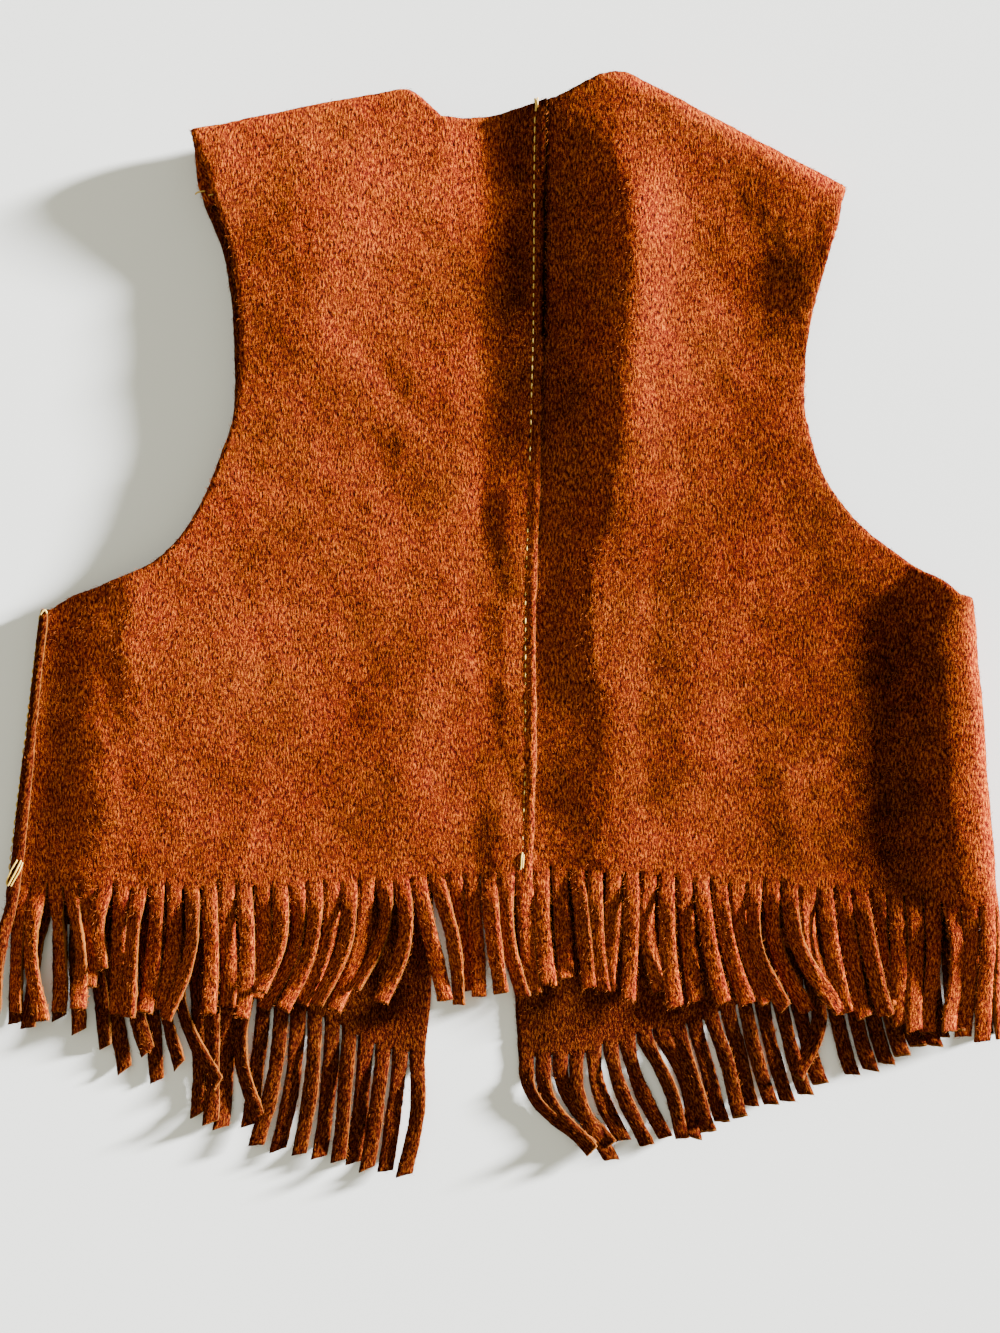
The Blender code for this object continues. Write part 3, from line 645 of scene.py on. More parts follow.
def hangStrand(panel, strand, flat):  # places the points of one strand, given in the flat cut
    place, length = panel["place"], strand["length"]
    rootY = hemY(panel, strand["x"])
    u = flat[:, 0] - strand["x"]
    v = np.maximum(hemY(panel, flat[:, 0]) - flat[:, 1], 0)
    root = place(np.array([[strand["x"], rootY]]))[0]
    beside = place(np.array([[strand["x"] + fringe["probe"], rootY]]))[0]
    side = math.copysign(1.0, beside[0] - root[0])
    fold = panel["side"]
    if fold is not None and fold.measure(np.array([[strand["x"], rootY]]))[1][0] > fringe["rolledFrom"]:
        t = v / length
        laid = place(flat)
        laid[:, 0] += strand["lean"] * t ** 2
        laid[:, 2] += strand["wave"] * np.sin(fringe["rolledWaves"] * t + strand["phase"]) * ease(t)
        return laid
    if panel["rest"] == "back":
        bare = fringe["bareFloor"][0] < strand["x"] < fringe["bareFloor"][1]
        rest = levels["frontStrands"] if bare else levels["backStrands"]
    else:
        rest = levels["frontStrands"] + (levels["tucked"] if strand["wrapped"] else 0)
    drop = rest - root[2] + fringe["ridgeKept"] * max(root[2] - levels["back"], 0)
    dropBy = fringe["sinkBy"] if drop < 0 else fringe["riseBy"]
    fall = math.sqrt(max(length ** 2 - strand["lean"] ** 2, 1)) / length
    hop = fringe["hop"] * strand["upper"]

    def centre(v):
        past = np.maximum(v - length + fringe["curlLength"], 0)
        rate = strand["curl"] / fringe["curlLength"]
        lift = (1 - np.cos(rate * past)) / rate
        v = v - past + np.sin(rate * past) / rate
        t = v / length
        bow = strand["bow"] * np.sin(math.pi * np.minimum(t, 1)) ** fringe["bowPower"]
        sway = strand["lean"] * t ** fringe["leanCurve"] + bow
        sag = drop * ease(t / dropBy) + hop * ease(t / fringe["hopBy"])
        wave = strand["wave"] * np.sin(fringe["waves"] * t + strand["phase"]) * ease(t * 2)
        return root + np.column_stack([sway, -fall * v, sag + wave + lift])

    def twistAt(t):
        half = math.radians(strand["twist"]) * ease(t / fringe["twistBy"])
        onward = ease((t - fringe["halfway"]) / (1 - fringe["halfway"]))
        rest = math.radians(strand["tipTwist"] - strand["twist"]) * onward
        return (half + rest) * fringe["twistShare"]

    line, ahead = centre(v), centre(v + fringe["probe"])
    down = ahead - line
    down /= np.linalg.norm(down, axis=1)[:, None]
    across = np.cross([0, 0, 1.0], down) * side
    across /= np.linalg.norm(across, axis=1)[:, None]
    up = np.cross(down, across)
    turn = twistAt(v / length) * side
    across = across * np.cos(turn)[:, None] + up * np.sin(turn)[:, None]
    laid = line + across * u[:, None]
    tilt = np.abs(np.sin(turn)) * (strand["right"] - strand["left"]) / 2
    lowest = leather["wall"] / 2 + levels["floorClearance"]
    if panel["rest"] == "front":
        laid[:, 2] += np.maximum(lowest + tilt - line[:, 2], 0)
    rootRow = np.column_stack([flat[:, 0], hemY(panel, flat[:, 0])])
    off = place(rootRow) - (root + (side * u)[:, None] * np.array([1.0, 0, 0]))
    return laid + off * (1 - ease(v / fringe["rootBlend"]))[:, None]


def roughen(mesh, cutFaces):  # lifts and sinks every point of the finished shell like coarse nap
    count = len(mesh.vertices)
    places = np.empty(count * 3)
    mesh.vertices.foreach_get("co", places)
    places = places.reshape(-1, 3) / mm
    normals = np.empty(count * 3, np.float32)
    mesh.vertices.foreach_get("normal", normals)
    normals = normals.reshape(-1, 3)
    onEdge = np.zeros(count)
    for index in cutFaces:
        onEdge[list(mesh.polygons[index].vertices)] = 1
    lift = np.empty(count)
    for k, p in enumerate(places):
        spot = Vector(p)
        lift[k] = (
            nap["lumpHeight"] * noise.noise(spot / nap["lumpSize"])
            + nap["clumpHeight"] * noise.noise(spot / nap["clumpSize"])
            + nap["swellHeight"] * noise.noise(spot / nap["swellSize"])
            + onEdge[k] * nap["edgeFray"] * noise.noise(spot / nap["clumpSize"] + Vector(nap["frayShift"]))
        )
    places += normals * lift[:, None]
    places[:, 2] = np.maximum(places[:, 2], levels["floorClearance"] * nap["sinkLimit"])
    mesh.vertices.foreach_set("co", (places * mm).ravel())
    mesh.update()


def addPiece(name, mesh, material):
    mesh.materials.append(material)
    piece = bpy.data.objects.new(name, mesh)
    bpy.context.scene.collection.objects.link(piece)
    return piece


def cutPanel(panel, material):
    strands = cutStrands(panel)
    outline = densify(cutOutline(panel, strands), leather["pointSpacing"])
    flat, faces = fillCut(outline)
    laid = panel["place"](flat)
    below = hemY(panel, flat[:, 0]) - flat[:, 1] > 0
    margin = (fringe["slit"] / 2 + fringe["widthJitter"]) / 2
    for strand in strands:
        own = below & (flat[:, 0] > strand["left"] - margin) & (flat[:, 0] < strand["right"] + margin)
        own &= np.abs(flat[:, 0] - strand["x"]) < fringe["pitch"] * fringe["reach"]
        laid[own] = hangStrand(panel, strand, flat[own])
    laid[:, :2] -= middle
    mesh = bpy.data.meshes.new(panel["name"])
    mesh.from_pydata([tuple(p) for p in laid * mm], [], faces)
    uv = mesh.uv_layers.new(name="cut")
    corners = np.empty(len(mesh.loops), np.int32)
    mesh.loops.foreach_get("vertex_index", corners)
    uv.data.foreach_set("uv", ((flat + leather["cutShift"]) * mm)[corners].ravel())
    # each point's painted shade and light, with some tone, from the panel's strokes
    pointShadeAndTone = mesh.attributes.new("shade", "FLOAT", "POINT")
    pointShadeAndTone.data.foreach_set("value", spread(panel["patches"], flat).astype(np.float32))
    piece = addPiece(panel["name"], mesh, material)
    mesh.materials.append(bpy.data.materials.new("cutFacesForNow"))
    thick = piece.vertex_groups.new(name="wholeWall")
    facesAt = np.bincount(np.array([v for f in faces for v in f]), minlength=len(flat))
    onOutline = set(findOutline(mesh))
    thick.add([k for k in range(len(flat)) if k not in onOutline and facesAt[k]], 1.0, "REPLACE")
    thick.add(list(onOutline), 0.0, "REPLACE")
    wall = piece.modifiers.new("Wall", "SOLIDIFY")
    wall.thickness = leather["wall"] * mm
    wall.offset = 0.0
    wall.use_even_offset = False
    wall.vertex_group = "wholeWall"
    wall.thickness_vertex_group = leather["edgeThickness"]
    wall.material_offset_rim = 1
    bpy.ops.object.select_all(action="DESELECT")
    bpy.context.view_layer.objects.active = piece
    piece.select_set(True)
    bpy.ops.object.modifier_apply(modifier="Wall")
    piece.vertex_groups.clear()
    mesh = piece.data
    worn = np.empty(len(mesh.polygons), np.int32)
    mesh.polygons.foreach_get("material_index", worn)
    roughen(mesh, np.nonzero(worn)[0])
    cut = mesh.attributes.new("cutEdge", "FLOAT", "FACE")
    cut.data.foreach_set("value", worn.astype(np.float32))
    mesh.polygons.foreach_set("material_index", np.zeros(len(worn), np.int32))
    mesh.materials.pop(index=1)
    mesh.shade_smooth()
    here = flat[np.array(faces)]
    one, two = here[:, 1] - here[:, 0], here[:, 2] - here[:, 0]
    area = float(np.abs(one[:, 0] * two[:, 1] - one[:, 1] * two[:, 0]).sum() / 2) * mm * mm
    size = (flat.max(0) - flat.min(0)) * mm
    print(f"vest: {panel['name']} has {2 * len(faces)} triangles on its faces, {area * 1e4:.0f} cm2")
    return piece, size, area


def findOutline(mesh):  # indices of the points on a mesh's open edges
    bm = bmesh.new()
    bm.from_mesh(mesh)
    found = sorted({v.index for e in bm.edges if e.is_boundary for v in e.verts})
    bm.free()
    return found


class Bench:  # makes the nodes of one material
    def __init__(self, name):
        self.material = bpy.data.materials.new(name)
        self.material.use_nodes = True
        self.tree = self.material.node_tree
        self.tree.nodes.clear()

    def add(self, kind, settings=None, inputs=None):
        node = self.tree.nodes.new(kind)
        for key, value in (settings or {}).items():
            if key == "stops":
                ramp = node.color_ramp
                while len(ramp.elements) < len(value):
                    ramp.elements.new(0.5)
                for element, (position, colour) in zip(ramp.elements, value):
                    element.position, element.color = position, colour
            else:
                setattr(node, key, value)
        for key, value in (inputs or {}).items():
            if isinstance(value, Wire):
                self.tree.links.new(value.socket, node.inputs[key])
            elif isinstance(value, bpy.types.NodeSocket):
                self.tree.links.new(value, node.inputs[key])
            else:
                node.inputs[key].default_value = value
        return node

    def wire(self, kind, settings=None, inputs=None, output=0):
        return Wire(self, self.add(kind, settings, inputs).outputs[output])

    def place(self):
        return self.wire("ShaderNodeTexCoord", output="Object")

    def finish(self, inputs):
        shader = self.add("ShaderNodeBsdfPrincipled", None, inputs)
        self.add("ShaderNodeOutputMaterial", None, {"Surface": shader.outputs[0]})
        return self.material


class Wire:  # a socket's value in a Python expression
    def __init__(self, bench, socket):
        self.bench, self.socket = bench, socket

    def maths(self, operation, first, second=0.0):
        return self.bench.wire("ShaderNodeMath", {"operation": operation}, {0: first, 1: second})

    def __add__(self, other):
        return self.maths("ADD", self, other)

    def __radd__(self, other):
        return self.maths("ADD", other, self)

    def __sub__(self, other):
        return self.maths("SUBTRACT", self, other)

    def __rsub__(self, other):
        return self.maths("SUBTRACT", other, self)

    def __mul__(self, other):
        return self.maths("MULTIPLY", self, other)

    def __rmul__(self, other):
        return self.maths("MULTIPLY", other, self)

    def atLeast(self, least):
        return self.maths("MAXIMUM", self, least)

    def held(self):  # kept between 0 and 1
        return self.bench.wire("ShaderNodeClamp", None, {"Value": self})


def mixColours(bench, factor, first, second, blend="MIX"):
    return bench.wire(
        "ShaderNodeMix", {"data_type": "RGBA", "blend_type": blend, "clamp_factor": True},
        {"Factor": factor, "A": first, "B": second}, output=2,
    )


def makeSuede(name, tone):
    bench = Bench(name)
    cut = bench.wire("ShaderNodeUVMap", {"uv_map": "cut"})
    inMm = bench.wire("ShaderNodeMapping", None, {"Vector": cut, "Scale": (1 / mm, 1 / mm, 1)})
    place = bench.place()

    def noiseAt(vector, size, detail=2.0, roughness=0.5):
        return bench.wire(
            "ShaderNodeTexNoise", {"noise_dimensions": "3D"},
            {"Vector": vector, "Scale": 1.0 / size, "Detail": detail, "Roughness": roughness},
        )

    def fibres(turn, shift):
        alongNap = bench.wire(
            "ShaderNodeMapping", None,
            {"Vector": inMm, "Rotation": (0, 0, math.radians(turn)), "Location": (shift, 0, 0),
             "Scale": (1 / tone["fibreWidth"], 1 / tone["fibreLength"], 1)},
        )
        return noiseAt(alongNap, 1.0, detail=2.5, roughness=0.6)

    def attribute(name):
        return bench.wire("ShaderNodeAttribute", {"attribute_name": name}, None, output="Fac")

    wander = noiseAt(inMm, tone["patchSize"], detail=1.0)
    elsewhere = bench.wire("ShaderNodeMapping", None, {"Vector": inMm, "Location": tone["patchShift"]})
    wanderMore = noiseAt(elsewhere, tone["patchSize"], detail=1.0)
    toSecond = ((wander - 0.5) * tone["patchEdge"] + 0.5).held()
    toThird = ((wanderMore - tone["thirdFrom"]) * tone["patchEdge"] + 0.5).held()
    slant, counter, level = (fibres(turn, shift) for turn, shift in tone["headings"])
    clumps = slant + (counter - slant) * toSecond
    clumps = clumps + (level - clumps) * toThird
    grain = noiseAt(inMm, tone["grainSize"], detail=2.0, roughness=0.6)
    pile = clumps * tone["clumpShare"] + grain * (1 - tone["clumpShare"])
    depth = ((pile - 0.5) * tone["contrast"] + 0.5).held()
    napColour = bench.wire("ShaderNodeValToRGB", {"stops": tone["stops"]}, {"Fac": depth})
    broad = noiseAt(place, tone["broadSize"], detail=3.0, roughness=0.55)
    middling = noiseAt(place, tone["middlingSize"], detail=2.0)
    mottle, lessMottle = tone["mottle"], tone["middlingShare"]
    # the shade attribute adds the strokes' painted shade and light to the random mottle
    brightness = 1.0 + (broad - 0.5) * mottle + (middling - 0.5) * mottle * lessMottle + attribute("shade")
    hue = 0.5 + (noiseAt(place, tone["hueSize"], detail=1.0) - 0.5) * tone["hueSwing"]
    rawGrain = noiseAt(place, tone["rawSize"], detail=2.0)
    rawColour = mixColours(bench, rawGrain, tone["rawDark"], tone["rawLight"])
    plain = mixColours(bench, attribute("cutEdge"), napColour, rawColour)
    colour = bench.wire(
        "ShaderNodeHueSaturation", None,
        {"Hue": hue, "Value": brightness.atLeast(tone["darkest"]), "Color": plain},
    )
    bump = bench.wire(
        "ShaderNodeBump", None, {"Strength": 1.0, "Distance": tone["napDepth"] * mm, "Height": pile}
    )
    return bench.finish({
        "Base Color": colour, "Roughness": tone["roughness"], "Normal": bump, "Specular IOR Level": 0.0,
    })


backTone = {  # fibres, patches and grain in mm, the rest in metres
    "fibreWidth": 0.72, "fibreLength": 2.1, "headings": ((28, 3), (-36, 31), (80, 57)),
    "patchSize": 4.5, "patchShift": (41, 17, 5), "patchEdge": 9, "thirdFrom": 0.56,
    "grainSize": 0.45, "clumpShare": 0.72, "contrast": 5.2, "napDepth": 0.78, "roughness": 0.95,
    "broadSize": 0.034, "middlingSize": 0.0085, "middlingShare": 0.8, "mottle": 0.72, "darkest": 0.05,
    "hueSize": 0.021, "hueSwing": 0.014,
    "rawSize": 0.0007, "rawDark": (0.06, 0.015, 0.004, 1), "rawLight": (0.16, 0.058, 0.011, 1),
    "stops": [
        (0.0, (0.016, 0.0019, 0.0016, 1)), (0.35, (0.076, 0.0089, 0.0047, 1)),
        (0.65, (0.17, 0.0245, 0.005, 1)), (1.0, (0.365, 0.083, 0.004, 1)),
    ],
}
# The fronts' stops are darker: partly their own tone, partly painted shade where the back and its strands
# shade them
frontShadedTone = {**backTone, "stops": [
    (0.0, (0.007, 0.0009, 0.0007, 1)), (0.35, (0.028, 0.0035, 0.0018, 1)),
    (0.65, (0.06, 0.0095, 0.0024, 1)), (1.0, (0.14, 0.034, 0.0035, 1)),
]}

suedes = {
    "back": makeSuede("coarseSuedeOutside", backTone), "front": makeSuede("coarseSuedeInsideShaded", frontShadedTone),
}
pieces = {panel["name"]: cutPanel(panel, suedes[panel["rest"]]) for panel in panels}

threadTone = {
    "twist": 2600.0, "dark": (0.4, 0.22, 0.02, 1), "light": (0.72, 0.48, 0.07, 1),
    "bump": 0.6, "depth": 0.0001, "roughness": 0.55, "sheen": 0.2,
}


def threadMaterial():
    bench = Bench("goldenThread")
    strands = bench.wire(
        "ShaderNodeTexNoise", None, {"Vector": bench.place(), "Scale": threadTone["twist"], "Detail": 2.0}
    )
    colour = mixColours(bench, strands, threadTone["dark"], threadTone["light"])
    bump = bench.wire(
        "ShaderNodeBump", None,
        {"Strength": threadTone["bump"], "Distance": threadTone["depth"], "Height": strands},
    )
    return bench.finish({
        "Base Color": colour, "Roughness": threadTone["roughness"], "Normal": bump,
        "Sheen Weight": threadTone["sheen"],
    })


stitch = {
    "pitch": 3.6, "length": 2.9, "radius": 0.3, "segments": 8, "rings": 9,
    "arch": 0.42, "archLift": 0.5, "blunt": 0.8,  # how a stitch curves and how full its ends are
    "guideStep": 2.0,  # between the points that lead a row
    "lookAhead": 0.4, "probe": 0.5,
    "turn": 0.05, "seed": 11, "orderAlong": (1.0, 0.37, 0.113),
    "bottomY": -93.0, "topGap": 3, "deeperBelowY": 90,
    "shallow": (0.0, 0.14), "deep": (0.14, 0.5), "hidden": (0.05, 0.2), "side": (0.05, 0.25),
}


def modelStitch():  # one stitch along X, its ends dipping into the leather
    bpy.ops.object.select_all(action="DESELECT")
    bpy.ops.mesh.primitive_uv_sphere_add(
        segments=stitch["segments"], ring_count=stitch["rings"], radius=stitch["radius"], location=(0, 0, 0)
    )
    model = bpy.context.object
    half = stitch["length"] / 2
    for vert in model.data.vertices:
        share = vert.co.z / stitch["radius"]
        along = math.copysign(abs(share) ** stitch["blunt"], share)
        height = vert.co.y - stitch["arch"] * along ** 2 + stitch["arch"] * stitch["archLift"]
        vert.co = Vector((along * half, vert.co.x, height))
    mesh = model.data
    bpy.data.objects.remove(model)
    ordered = bmesh.new()  # a new sphere's faces come in another order each time
    ordered.from_mesh(mesh)
    ordered.verts.sort(key=lambda vert: vert.co.dot(stitch["orderAlong"]))
    ordered.faces.sort(key=lambda face: face.calc_center_median().dot(stitch["orderAlong"]))
    ordered.to_mesh(mesh)
    ordered.free()
    return mesh


def sewRow(bm, model, path, sinks):  # path is a list of (point, direction, up) in mm, one for each stitch
    for (point, along, up), sink in zip(path, sinks):
        side = np.cross(up, along)
        side = side / np.linalg.norm(side)
        up = np.cross(along, side)
        turn = Matrix((
            (along[0], side[0], up[0], point[0] - middle[0] - sink * up[0]),
            (along[1], side[1], up[1], point[1] - middle[1] - sink * up[1]),
            (along[2], side[2], up[2], point[2] - sink * up[2]),
            (0, 0, 0, 1),
        ))
        before = len(bm.verts)
        bm.from_mesh(model)
        bm.verts.ensure_lookup_table()
        bmesh.ops.transform(bm, matrix=Matrix.Scale(mm, 4) @ turn, verts=bm.verts[before:])


def seamPath(place, flatPoints, lift):  # evenly spaced stitches along points of the flat cut
    flatPoints = np.array(flatPoints)
    laid = place(flatPoints)
    steps = np.linalg.norm(np.diff(laid, axis=0), axis=1)
    run = np.concatenate([[0], np.cumsum(steps)])
    probe = stitch["probe"]
    path = []
    for s in np.arange(stitch["pitch"] / 2, run[-1], stitch["pitch"]):
        here = np.array([np.interp(s, run, laid[:, k]) for k in range(3)])
        ahead = np.array([np.interp(s + stitch["lookAhead"], run, laid[:, k]) for k in range(3)])
        along = (ahead - here) / max(np.linalg.norm(ahead - here), tiny)
        flatHere = np.array([[np.interp(s, run, flatPoints[:, k]) for k in range(2)]])
        right = place(flatHere + [probe, 0])[0] - place(flatHere)[0]
        up = np.cross(right, place(flatHere + [0, probe])[0] - place(flatHere)[0])
        up /= np.linalg.norm(up)
        path.append((here + up * lift, along, up))
    return path


def sewPiece(name, rows, material):
    model = modelStitch()
    bm = bmesh.new()
    draw = random.Random(stitch["seed"])
    for path, depth in rows:
        sinks = [draw.uniform(*depth) for _ in path]
        turned = []
        for point, along, up in path:
            off = draw.uniform(-stitch["turn"], stitch["turn"])
            along = along + np.cross(up, along) * off
            turned.append((point, along / np.linalg.norm(along), up))
        sewRow(bm, model, turned, sinks)
    mesh = bpy.data.meshes.new(name)
    bm.to_mesh(mesh)
    bm.free()
    mesh.shade_smooth()
    print(f"vest: {name} has {len(mesh.polygons)} faces")
    return addPiece(name, mesh, material)


thread = threadMaterial()
halfWall = leather["wall"] / 2
centreLine = [
    (centreX(y) - stitchLine["inset"], y)
    for y in np.arange(stitch["bottomY"], centreSeam[-1][1] - stitch["topGap"], stitch["guideStep"])
]
centrePath = seamPath(placeBackLeft, centreLine, halfWall)
upperRow = [p for p in centrePath if p[0][1] > stitch["deeperBelowY"]]
lowerRow = [p for p in centrePath if p[0][1] <= stitch["deeperBelowY"]]
centreStitches = sewPiece(
    "stitches_centre_seam", [(upperRow, stitch["shallow"]), (lowerRow, stitch["deep"])], thread
)

lapMiddle = (seams["shoulderEdge"] + seams["shoulderFlap"]) / 2
sideLapMiddle = (seams["sideEdge"] + seams["sideFlap"]) / 2
hiddenRows = [  # on the underside, each along a roll
    {
        "name": "stitches_left_shoulder", "on": "suede_back_left", "place": placeBackLeft,
        "fold": leftShoulder, "past": leftShoulder.pastFor(lapMiddle), "start": 20, "end": 95,
        "sinks": stitch["hidden"],
    },
    {
        "name": "stitches_right_shoulder", "on": "suede_back_right", "place": placeBackRight,
        "fold": rightShoulder, "past": rightShoulder.pastFor(lapMiddle), "start": 10, "end": 84,
        "sinks": stitch["hidden"],
    },
    {
        "name": "stitches_right_side", "on": "suede_back_right", "place": placeBackRight,
        "fold": rightSide, "past": rightSide.pastFor(sideLapMiddle), "start": 40, "end": 126,
        "sinks": stitch["hidden"],
    },
    {
        "name": "stitches_left_side", "on": "suede_front_left", "place": placeFrontLeft,
        "fold": leftSide, "past": leftSide.arc * seams["wrapRow"], "start": 3, "end": 108,
        "sinks": stitch["side"],
    },
]
for row in hiddenRows:
    places = np.arange(row["start"], row["end"], stitch["guideStep"])
    path = seamPath(row["place"], [row["fold"].flat(s, row["past"]) for s in places], -halfWall)
    path = [(point, along, -up) for point, along, up in path]
    row["piece"] = sewPiece(row["name"], [(path, row["sinks"])], thread)

threadEnd = {"step": 0.25, "sides": 8, "taper": 0.55, "leastRun": 0.01, "neckY": 207.2}


def smoothLine3(points, step):
    points = [np.array(p, float) for p in points]
    plan = smoothLine([p[:2] for p in points], step)
    share = [0.0]
    for here, there in zip(points, points[1:]):
        share.append(share[-1] + math.hypot(*(there - here)[:2]) + threadEnd["leastRun"])
    runs = np.linspace(0, share[-1], len(plan))
    heights = np.interp(runs, share, [p[2] for p in points])
    return [(*spot, height) for spot, height in zip(plan, heights)]


def spin(bm, points, radius):  # a round thread through these points, closed at both ends
    line = [Vector(p) for p in smoothLine3(points, threadEnd["step"])]
    sides = threadEnd["sides"]
    rings = []
    side = Vector((0, 0, 1))
    for k, point in enumerate(line):
        along = (line[min(k + 1, len(line) - 1)] - line[max(k - 1, 0)]).normalized()
        side = (side - along * side.dot(along)).normalized()
        other = along.cross(side)
        size = radius * (threadEnd["taper"] if k in (0, len(line) - 1) else 1)
        ring = []
        for step in range(sides):
            angle = 2 * math.pi * step / sides
            spot = point + (side * math.cos(angle) + other * math.sin(angle)) * size
            ring.append(bm.verts.new((spot - Vector((*middle, 0))) * mm))
        rings.append(ring)
    for first, second in zip(rings, rings[1:]):
        for step in range(sides):
            turn = (step + 1) % sides
            bm.faces.new((first[step], first[turn], second[turn], second[step]))
    bm.faces.new(list(reversed(rings[0])))
    bm.faces.new(rings[-1])


def threadEnds(name, cords, material):
    bm = bmesh.new()
    for radius, points in cords:
        spin(bm, points, radius)
    bmesh.ops.recalc_face_normals(bm, faces=bm.faces)
    mesh = bpy.data.meshes.new(name)
    bm.to_mesh(mesh)
    bm.free()
    mesh.shade_smooth()
    return addPiece(name, mesh, material)


def above(spot, step):  # a point over the outer face of the left back, a step away from a spot
    x, y = spot[0] + step[0], spot[1] + step[1]
    return (x, y, float(placeBackLeft(np.array([[x, y]]))[0][2]) + halfWall + step[2])


neck = (centreX(204.0) - stitchLine["inset"], threadEnd["neckY"])
foot = (centreX(stitch["bottomY"]) - stitchLine["inset"], stitch["bottomY"])
sideTop = placeFrontLeft(np.array([leftSide.flat(2.5, leftSide.pastFor(1.4))]))[0]
sideLow = placeFrontLeft(np.array([leftSide.flat(104.0, leftSide.pastFor(3.0))]))[0]
# Each end's radius, where it is, and its points from there, in mm
seamEnds = [
    (0.42, neck, [(0, -4.2, -0.1), (0.2, -2.0, 0.45), (-0.3, 0, 0.3), (-0.2, 0.8, -1.2), (0.1, -0.6, -2.4)]),
    (0.4, neck, [(0.8, -3.0, 0.0), (0.6, -1.2, 0.7), (0.7, 0.5, 0.2), (0.8, 0.9, -1.3)]),
    (0.36, foot, [(0, 3.4, -0.1), (-0.4, 1.2, 0.5), (-0.5, -1.4, 0.45), (-0.8, -3.4, 0.2)]),
    (0.32, foot, [(0.5, 2.6, 0.0), (0.3, 0, 0.5), (0.1, -2.8, 0.3)]),
]
armholeEnd = [(-119.6, 175.7, 3.9), (-121.0, 175.4, 4.3), (-122.6, 175.1, 4.1), (-123.7, 174.5, 3.3)]
sideEnds = [
    (0.36, sideTop, [(-1.2, -1.0, 1.0), (-0.2, 0.4, 1.45), (0.9, 0.9, 1.2), (1.4, -0.4, 0.9)]),
    (0.34, sideLow, [
        (1.8, 1.6, 0.9), (0.4, -1.6, 1.7), (-2.0, -6.0, 1.6), (-3.6, -8.4, 1.1), (-3.9, -6.6, 1.1),
        (-2.2, -2.6, 1.4), (0.2, 1.8, 0.95),
    ]),
    (0.3, sideLow, [(2.4, 0.8, 0.9), (1.4, -2.4, 1.6), (-0.6, -5.8, 1.4), (-2.4, -8.8, 0.9)]),
]
backEnds = [(radius, [above(spot, step) for step in steps]) for radius, spot, steps in seamEnds]
backEnds.append((0.34, armholeEnd))
frontEnds = [(radius, [spot + np.array(step) for step in steps]) for radius, spot, steps in sideEnds]
endsOnBack = threadEnds("thread_ends_centre_seam", backEnds, thread)
endsOnFront = threadEnds("thread_ends_left_side", frontEnds, thread)

loose = {
    "length": (0.9, 2.2), "radius": 0.075,
    "lean": 0.85, "rise": 0.5, "tipRise": 0.3, "curl": 0.5, "spread": 0.6,
    "scatter": 0.4, "root": 0.15,  # how far a root lies from the middle of its face, and how deep
    "bendSize": 0.8, "underside": -0.2, "lowest": 0.1, "floor": 0.02,
    "heading": 1.9, "across": (1.3, 29), "along": (1.2, 21, 1.3),  # how the heading wanders over a panel
    "mottle": 900.0, "dark": (0.1, 0.013, 0.004, 1), "light": (0.42, 0.12, 0.022, 1), "roughness": 0.9,
}


def fibreMaterial():
    bench = Bench("looseFibres")
    mottle = bench.wire(
        "ShaderNodeTexNoise", None, {"Vector": bench.place(), "Scale": loose["mottle"], "Detail": 1.0}
    )
    colour = mixColours(bench, mottle, loose["dark"], loose["light"])
    return bench.finish({"Base Color": colour, "Roughness": loose["roughness"], "Specular IOR Level": 0.0})


def growFibres(name, piece, onFace, onEdge, material):  # short loose fibres standing out of the nap
    draw = np.random.default_rng(leather["seed"])
    mesh = piece.data
    count = len(mesh.polygons)
    centres, normals = np.empty(count * 3, np.float32), np.empty(count * 3, np.float32)
    areas, worn = np.empty(count, np.float32), np.empty(count, np.float32)
    mesh.polygons.foreach_get("center", centres)
    mesh.polygons.foreach_get("normal", normals)
    mesh.polygons.foreach_get("area", areas)
    mesh.attributes["cutEdge"].data.foreach_get("value", worn)
    centres, normals = centres.reshape(-1, 3) / mm, normals.reshape(-1, 3)
    outside = areas * (worn < 0.5) * (normals[:, 2] > loose["underside"])
    edge = areas * (worn > 0.5)
    chosen = np.concatenate([
        draw.choice(count, onFace, p=outside / outside.sum()),
        draw.choice(count, onEdge, p=edge / edge.sum()),
    ])
    total = len(chosen)
    root = centres[chosen] + draw.uniform(-loose["scatter"], loose["scatter"], (total, 3)) * [1, 1, 0]
    up = normals[chosen]
    (swing, width), (sway, height, phase) = loose["across"], loose["along"]
    x, y = root[:, 0], root[:, 1]
    wander = loose["heading"] + swing * np.sin(x / width) + sway * np.sin(y / height + phase)
    heading = wander + draw.normal(0, loose["spread"], total)
    lean = np.column_stack([np.cos(heading), np.sin(heading), np.zeros(total)])
    lean -= up * (lean * up).sum(1)[:, None]
    lean /= np.maximum(np.linalg.norm(lean, axis=1), tiny)[:, None]
    across = np.cross(up, lean)
    length = draw.uniform(*loose["length"], (total, 1))
    curl = across * draw.normal(0, loose["curl"], (total, 1))
    bend = root + (lean * loose["lean"] + up * loose["rise"]) * length * 0.5
    tip = bend + (lean * loose["lean"] + up * loose["rise"] * loose["tipRise"] + curl) * length * 0.5
    start = root - up * loose["root"]
    corners = []
    for spot, size in ((start, 1.0), (bend, loose["bendSize"])):
        for angle in (0, 2 * math.pi / 3, 4 * math.pi / 3):
            corners.append(spot + (across * math.cos(angle) + up * math.sin(angle)) * loose["radius"] * size)
    points = np.stack([*corners, tip], axis=1)
    step = points.shape[1]
    points[:, :, 2] = np.maximum(points[:, :, 2], loose["floor"])
    points = points[points[:, :, 2].min(1) > loose["lowest"]]
    one = [(2, 1, 0), (0, 1, 4, 3), (1, 2, 5, 4), (2, 0, 3, 5), (3, 4, 6), (4, 5, 6), (5, 3, 6)]
    faces = [tuple(k * step + corner for corner in face) for k in range(len(points)) for face in one]
    print(f"vest: {name} has {len(points)} fibres")
    grown = bpy.data.meshes.new(name)
    grown.from_pydata((points.reshape(-1, 3) * mm).tolist(), [], faces)
    return addPiece(name, grown, material)


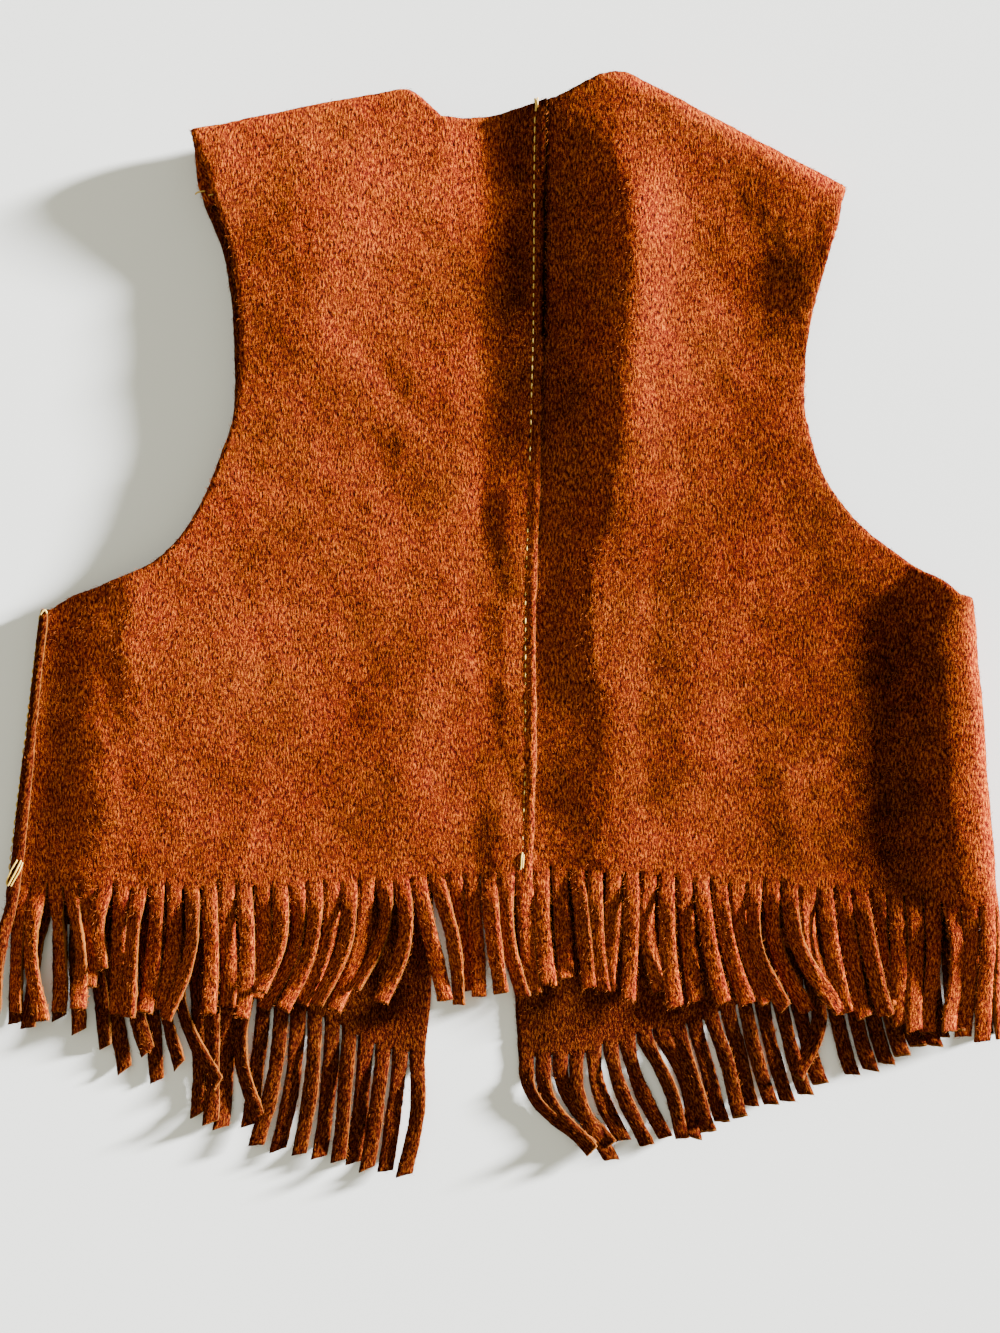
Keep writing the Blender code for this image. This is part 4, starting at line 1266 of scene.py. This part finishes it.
looseFibres = fibreMaterial()
for panel in panels:
    name = panel["name"].replace("suede", "fibres")
    panel["nap"] = growFibres(name, pieces[panel["name"]][0], *panel["fibres"], looseFibres)
    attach(panel["nap"], "root")

for panel in panels:
    piece = pieces[panel["name"]][0]
    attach(piece, "root")
    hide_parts(*panel["nodes"])
sewn = {panel["name"]: [] for panel in panels}
sewn["suede_back_left"] += [centreStitches, endsOnBack]
for row in hiddenRows:
    sewn[row["on"]].append(row["piece"])
sewn["suede_front_left"].append(endsOnFront)
for threads in sewn.values():
    for piece in threads:
        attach(piece, "root")
for panel in panels:
    piece, size, area = pieces[panel["name"]]

table = {
    "size": 4.0, "drop": 0.25, "cloud": 5.0, "roughness": 0.6,
    "dark": (0.77, 0.78, 0.77, 1), "light": (0.83, 0.84, 0.83, 1),
}
bpy.ops.object.select_all(action="DESELECT")
bpy.ops.mesh.primitive_plane_add(size=table["size"], location=(0, 0, 0))
floor = bpy.context.object
floor.name = "pale_table"
floor.data.transform(Matrix.Translation((0, 0, -table["drop"] * mm)))
bench = Bench("paleTable")
cloudy = bench.wire(
    "ShaderNodeTexNoise", None, {"Vector": bench.place(), "Scale": table["cloud"], "Detail": 1.0}
)
tableColour = mixColours(bench, cloudy, table["dark"], table["light"])
floor.data.materials.append(bench.finish({"Base Color": tableColour, "Roughness": table["roughness"]}))

view = {
    "height": 0.6, "level": 0.008, "width": 0.4, "frame": (1000, 1333), "centre": (0.00076, -0.01442),
    "sensor": 36.0,
}
cameraData = bpy.data.cameras.new("overhead")
camera = bpy.data.objects.new("overhead", cameraData)
bpy.context.scene.collection.objects.link(camera)
camera.location = (*view["centre"], view["height"])
tall = view["width"] * view["frame"][1] / view["frame"][0]
cameraData.sensor_width = view["sensor"]
cameraData.lens = cameraData.sensor_width * (view["height"] - view["level"]) / tall
bpy.context.scene.camera = camera

lamps = [  # suns, the first one low from the right
    {
        "name": "key", "azimuth": 18, "elevation": 11, "spread": 6.5, "strength": 44,
        "colour": (0.985, 0.99, 1.0),
    },
    {
        "name": "fill", "azimuth": 120, "elevation": 60, "spread": 60, "strength": 0.5,
        "colour": (0.95, 0.98, 1.0),
    },
]
for lamp in lamps:
    data = bpy.data.lights.new(lamp["name"], "SUN")
    data.energy, data.angle, data.color = lamp["strength"], math.radians(lamp["spread"]), lamp["colour"]
    light = bpy.data.objects.new(lamp["name"], data)
    a, e = math.radians(lamp["azimuth"]), math.radians(lamp["elevation"])
    light.location = (math.cos(e) * math.cos(a), math.cos(e) * math.sin(a), math.sin(e))
    light.rotation_euler = (-light.location).to_track_quat("-Z", "Y").to_euler()
    bpy.context.scene.collection.objects.link(light)
air = {"Color": (1.0, 0.96, 0.72, 1), "Strength": 0.7}
world = bpy.data.worlds.new("studio")
world.use_nodes = True
for name, value in air.items():
    world.node_tree.nodes["Background"].inputs[name].default_value = value
bpy.context.scene.world = world

print("vest: finished")
